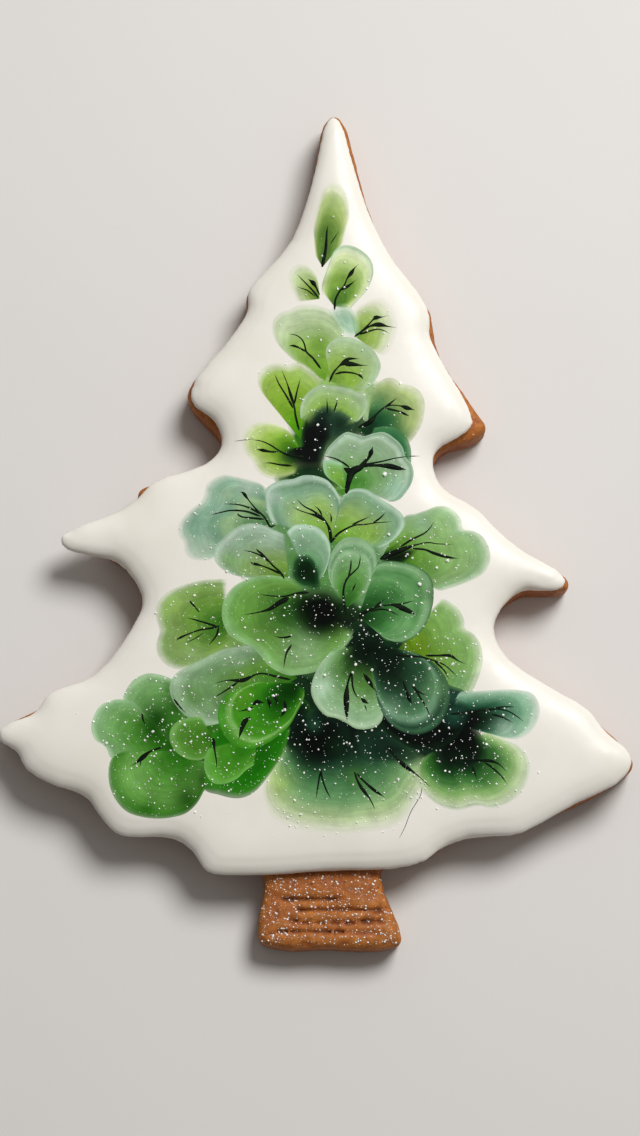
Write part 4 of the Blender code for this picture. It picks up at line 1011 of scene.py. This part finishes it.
def crystal(seed):
    """One sugar crystal, 1 across: a cube with worn edges, pushed a little out of true."""
    bpy.ops.object.select_all(action="DESELECT")
    bpy.ops.mesh.primitive_cube_add(size=1)
    piece = bpy.context.object
    bpy.ops.object.mode_set(mode="EDIT")
    bpy.ops.mesh.bevel(offset=0.2, affect="EDGES", segments=1)
    bpy.ops.transform.resize(value=(1.0, 0.86 - 0.05 * seed, 0.72 + 0.04 * seed))
    bpy.ops.transform.vertex_random(offset=0.06, seed=seed + 3)
    bpy.ops.object.mode_set(mode="OBJECT")
    points, faces = read(piece.data.vertices, "co"), [tuple(p.vertices) for p in piece.data.polygons]
    bpy.data.objects.remove(piece)
    return points, faces


def strew(name, crystals, xy_mm, widths_mm, trees, random):
    """Lays grains at places, each turned its own way and sunk a little into what it lies on."""
    heights = surface_height(trees, xy_mm, 0)
    points, faces, count = [], [], 0
    for (x, y), width, height in zip(xy_mm, widths_mm, heights):
        shape, sides = crystals[random.integers(len(crystals))]
        turn = random.normal(size=4)
        w, i, j, k = turn / np.linalg.norm(turn)
        rotation = np.array([
            [1 - 2 * (j * j + k * k), 2 * (i * j - k * w), 2 * (i * k + j * w)],
            [2 * (i * j + k * w), 1 - 2 * (i * i + k * k), 2 * (j * k - i * w)],
            [2 * (i * k - j * w), 2 * (j * k + i * w), 1 - 2 * (i * i + j * j)],
        ])
        if height <= 0:
            continue
        middle = [x * MM, y * MM, height + GRAIN_STANDS * width * MM]
        points.append(shape @ rotation.T * width * MM + middle)
        faces += [tuple(c + count for c in side) for side in sides]
        count += len(shape)
    mesh = bpy.data.meshes.new(name)
    mesh.from_pydata(np.vstack(points).tolist(), [], faces)
    piece = bpy.data.objects.new(name, mesh)
    bpy.context.scene.collection.objects.link(piece)
    return piece


class COOKIE_OT_sugar(bpy.types.Operator):
    """Sugar strewn on the foliage and on the bare stem"""

    bl_idname = "cookie.sugar"
    bl_label = "Sugar grains"

    def execute(self, context):
        random = np.random.default_rng(27)
        crystals = [crystal(seed) for seed in range(3)]
        material = sugar_crystal()
        leaf_trees = [tree_of(n) for n in ("leaves_upper", "leaves_middle", "leaves_lower")]
        dough, icing = tree_of("gingerbread_biscuit"), tree_of("white_icing_skin")
        size = sizes()
        low, high = size.grain_small / MM, size.grain_large / MM

        wanted, laid = size.foliage_grains, []
        while len(laid) < wanted:
            tries = random.random((600, 2)) * [80, 115] + [-40, -55]
            chance = np.interp(tries[:, 1], *SUGAR_BY_HEIGHT)
            tries = tries[random.random(len(tries)) < chance]
            on_leaf = surface_height(leaf_trees, tries, -1) > 0
            laid += list(tries[on_leaf | (random.random(len(tries)) < STRAY_GRAINS)])
        laid = np.array(laid)
        xy = laid[surface_height([icing], laid, -1) > 0][:wanted]
        widths = low + (high - low) * random.random(len(xy)) ** 3.5
        big = np.array(places(BIG_GRAINS))
        places_mm = np.vstack([xy, big[:, :2]])
        widths = [*widths, *(big[:, 2] * BIG_GRAIN_GROWTH)]
        foliage = strew("sugar_on_leaves", crystals, places_mm, widths, [*leaf_trees, icing], random)
        finish_piece(foliage, material, smooth=False)

        # Sugar lies all over the stem, thicker in one clump, and thinly on the bare strip at the right.
        foot, top = BISCUIT_LOW.y / MM + 0.8, TRUNK_TOP / MM
        spots = random.random((size.trunk_grains, 2)) * [24.0, top - foot] + [-9.2, foot]
        clump = random.normal(size=(26, 2)) * [1.0, 0.5] + [-5.6, -68.6]
        strip = random.random((60, 2)) * [12, 16] + [20, 9]
        spots = np.vstack([spots, clump, strip])
        bare = surface_height([dough], spots, -1) > STEM_TOP_LEVEL
        bare &= surface_height([icing], spots, -1) < 0
        spots = spots[bare]
        widths = low + (high - low) * random.random(len(spots)) ** 3
        stem = strew("sugar_on_biscuit", crystals, spots, widths, [dough], random)
        finish_piece(stem, material, smooth=False)
        return {"FINISHED"}


STEPS = (COOKIE_OT_stage, COOKIE_OT_biscuit, COOKIE_OT_icing, COOKIE_OT_leaves, COOKIE_OT_twigs, COOKIE_OT_sugar)


class COOKIE_PT_panel(bpy.types.Panel):
    """The steps of making the cookie, in order"""

    bl_label = "Iced tree cookie"
    bl_idname = "COOKIE_PT_panel"
    bl_space_type = "VIEW_3D"
    bl_region_type = "UI"
    bl_category = "Cookie"

    def draw(self, context):
        for step in STEPS:
            self.layout.operator(step.bl_idname)
        for group in (context.scene.cookie_sizes, context.scene.cookie_colours):
            box = self.layout.box()
            for name in group.bl_rna.properties.keys():
                if name not in ("rna_type", "name"):
                    box.prop(group, name)


CLASSES = (CookieSizes, CookieColours, *STEPS, COOKIE_PT_panel)


def register():
    for c in CLASSES:
        bpy.utils.register_class(c)
    bpy.types.Scene.cookie_sizes = PointerProperty(type=CookieSizes)
    bpy.types.Scene.cookie_colours = PointerProperty(type=CookieColours)


def unregister():
    del bpy.types.Scene.cookie_sizes
    del bpy.types.Scene.cookie_colours
    for c in reversed(CLASSES):
        bpy.utils.unregister_class(c)


def main():
    register()
    bpy.ops.cookie.stage()
    bpy.ops.cookie.biscuit()
    bpy.ops.cookie.icing()
    bpy.ops.cookie.leaves()
    bpy.ops.cookie.twigs()
    bpy.ops.cookie.sugar()


if __name__ == "__main__":
    main()
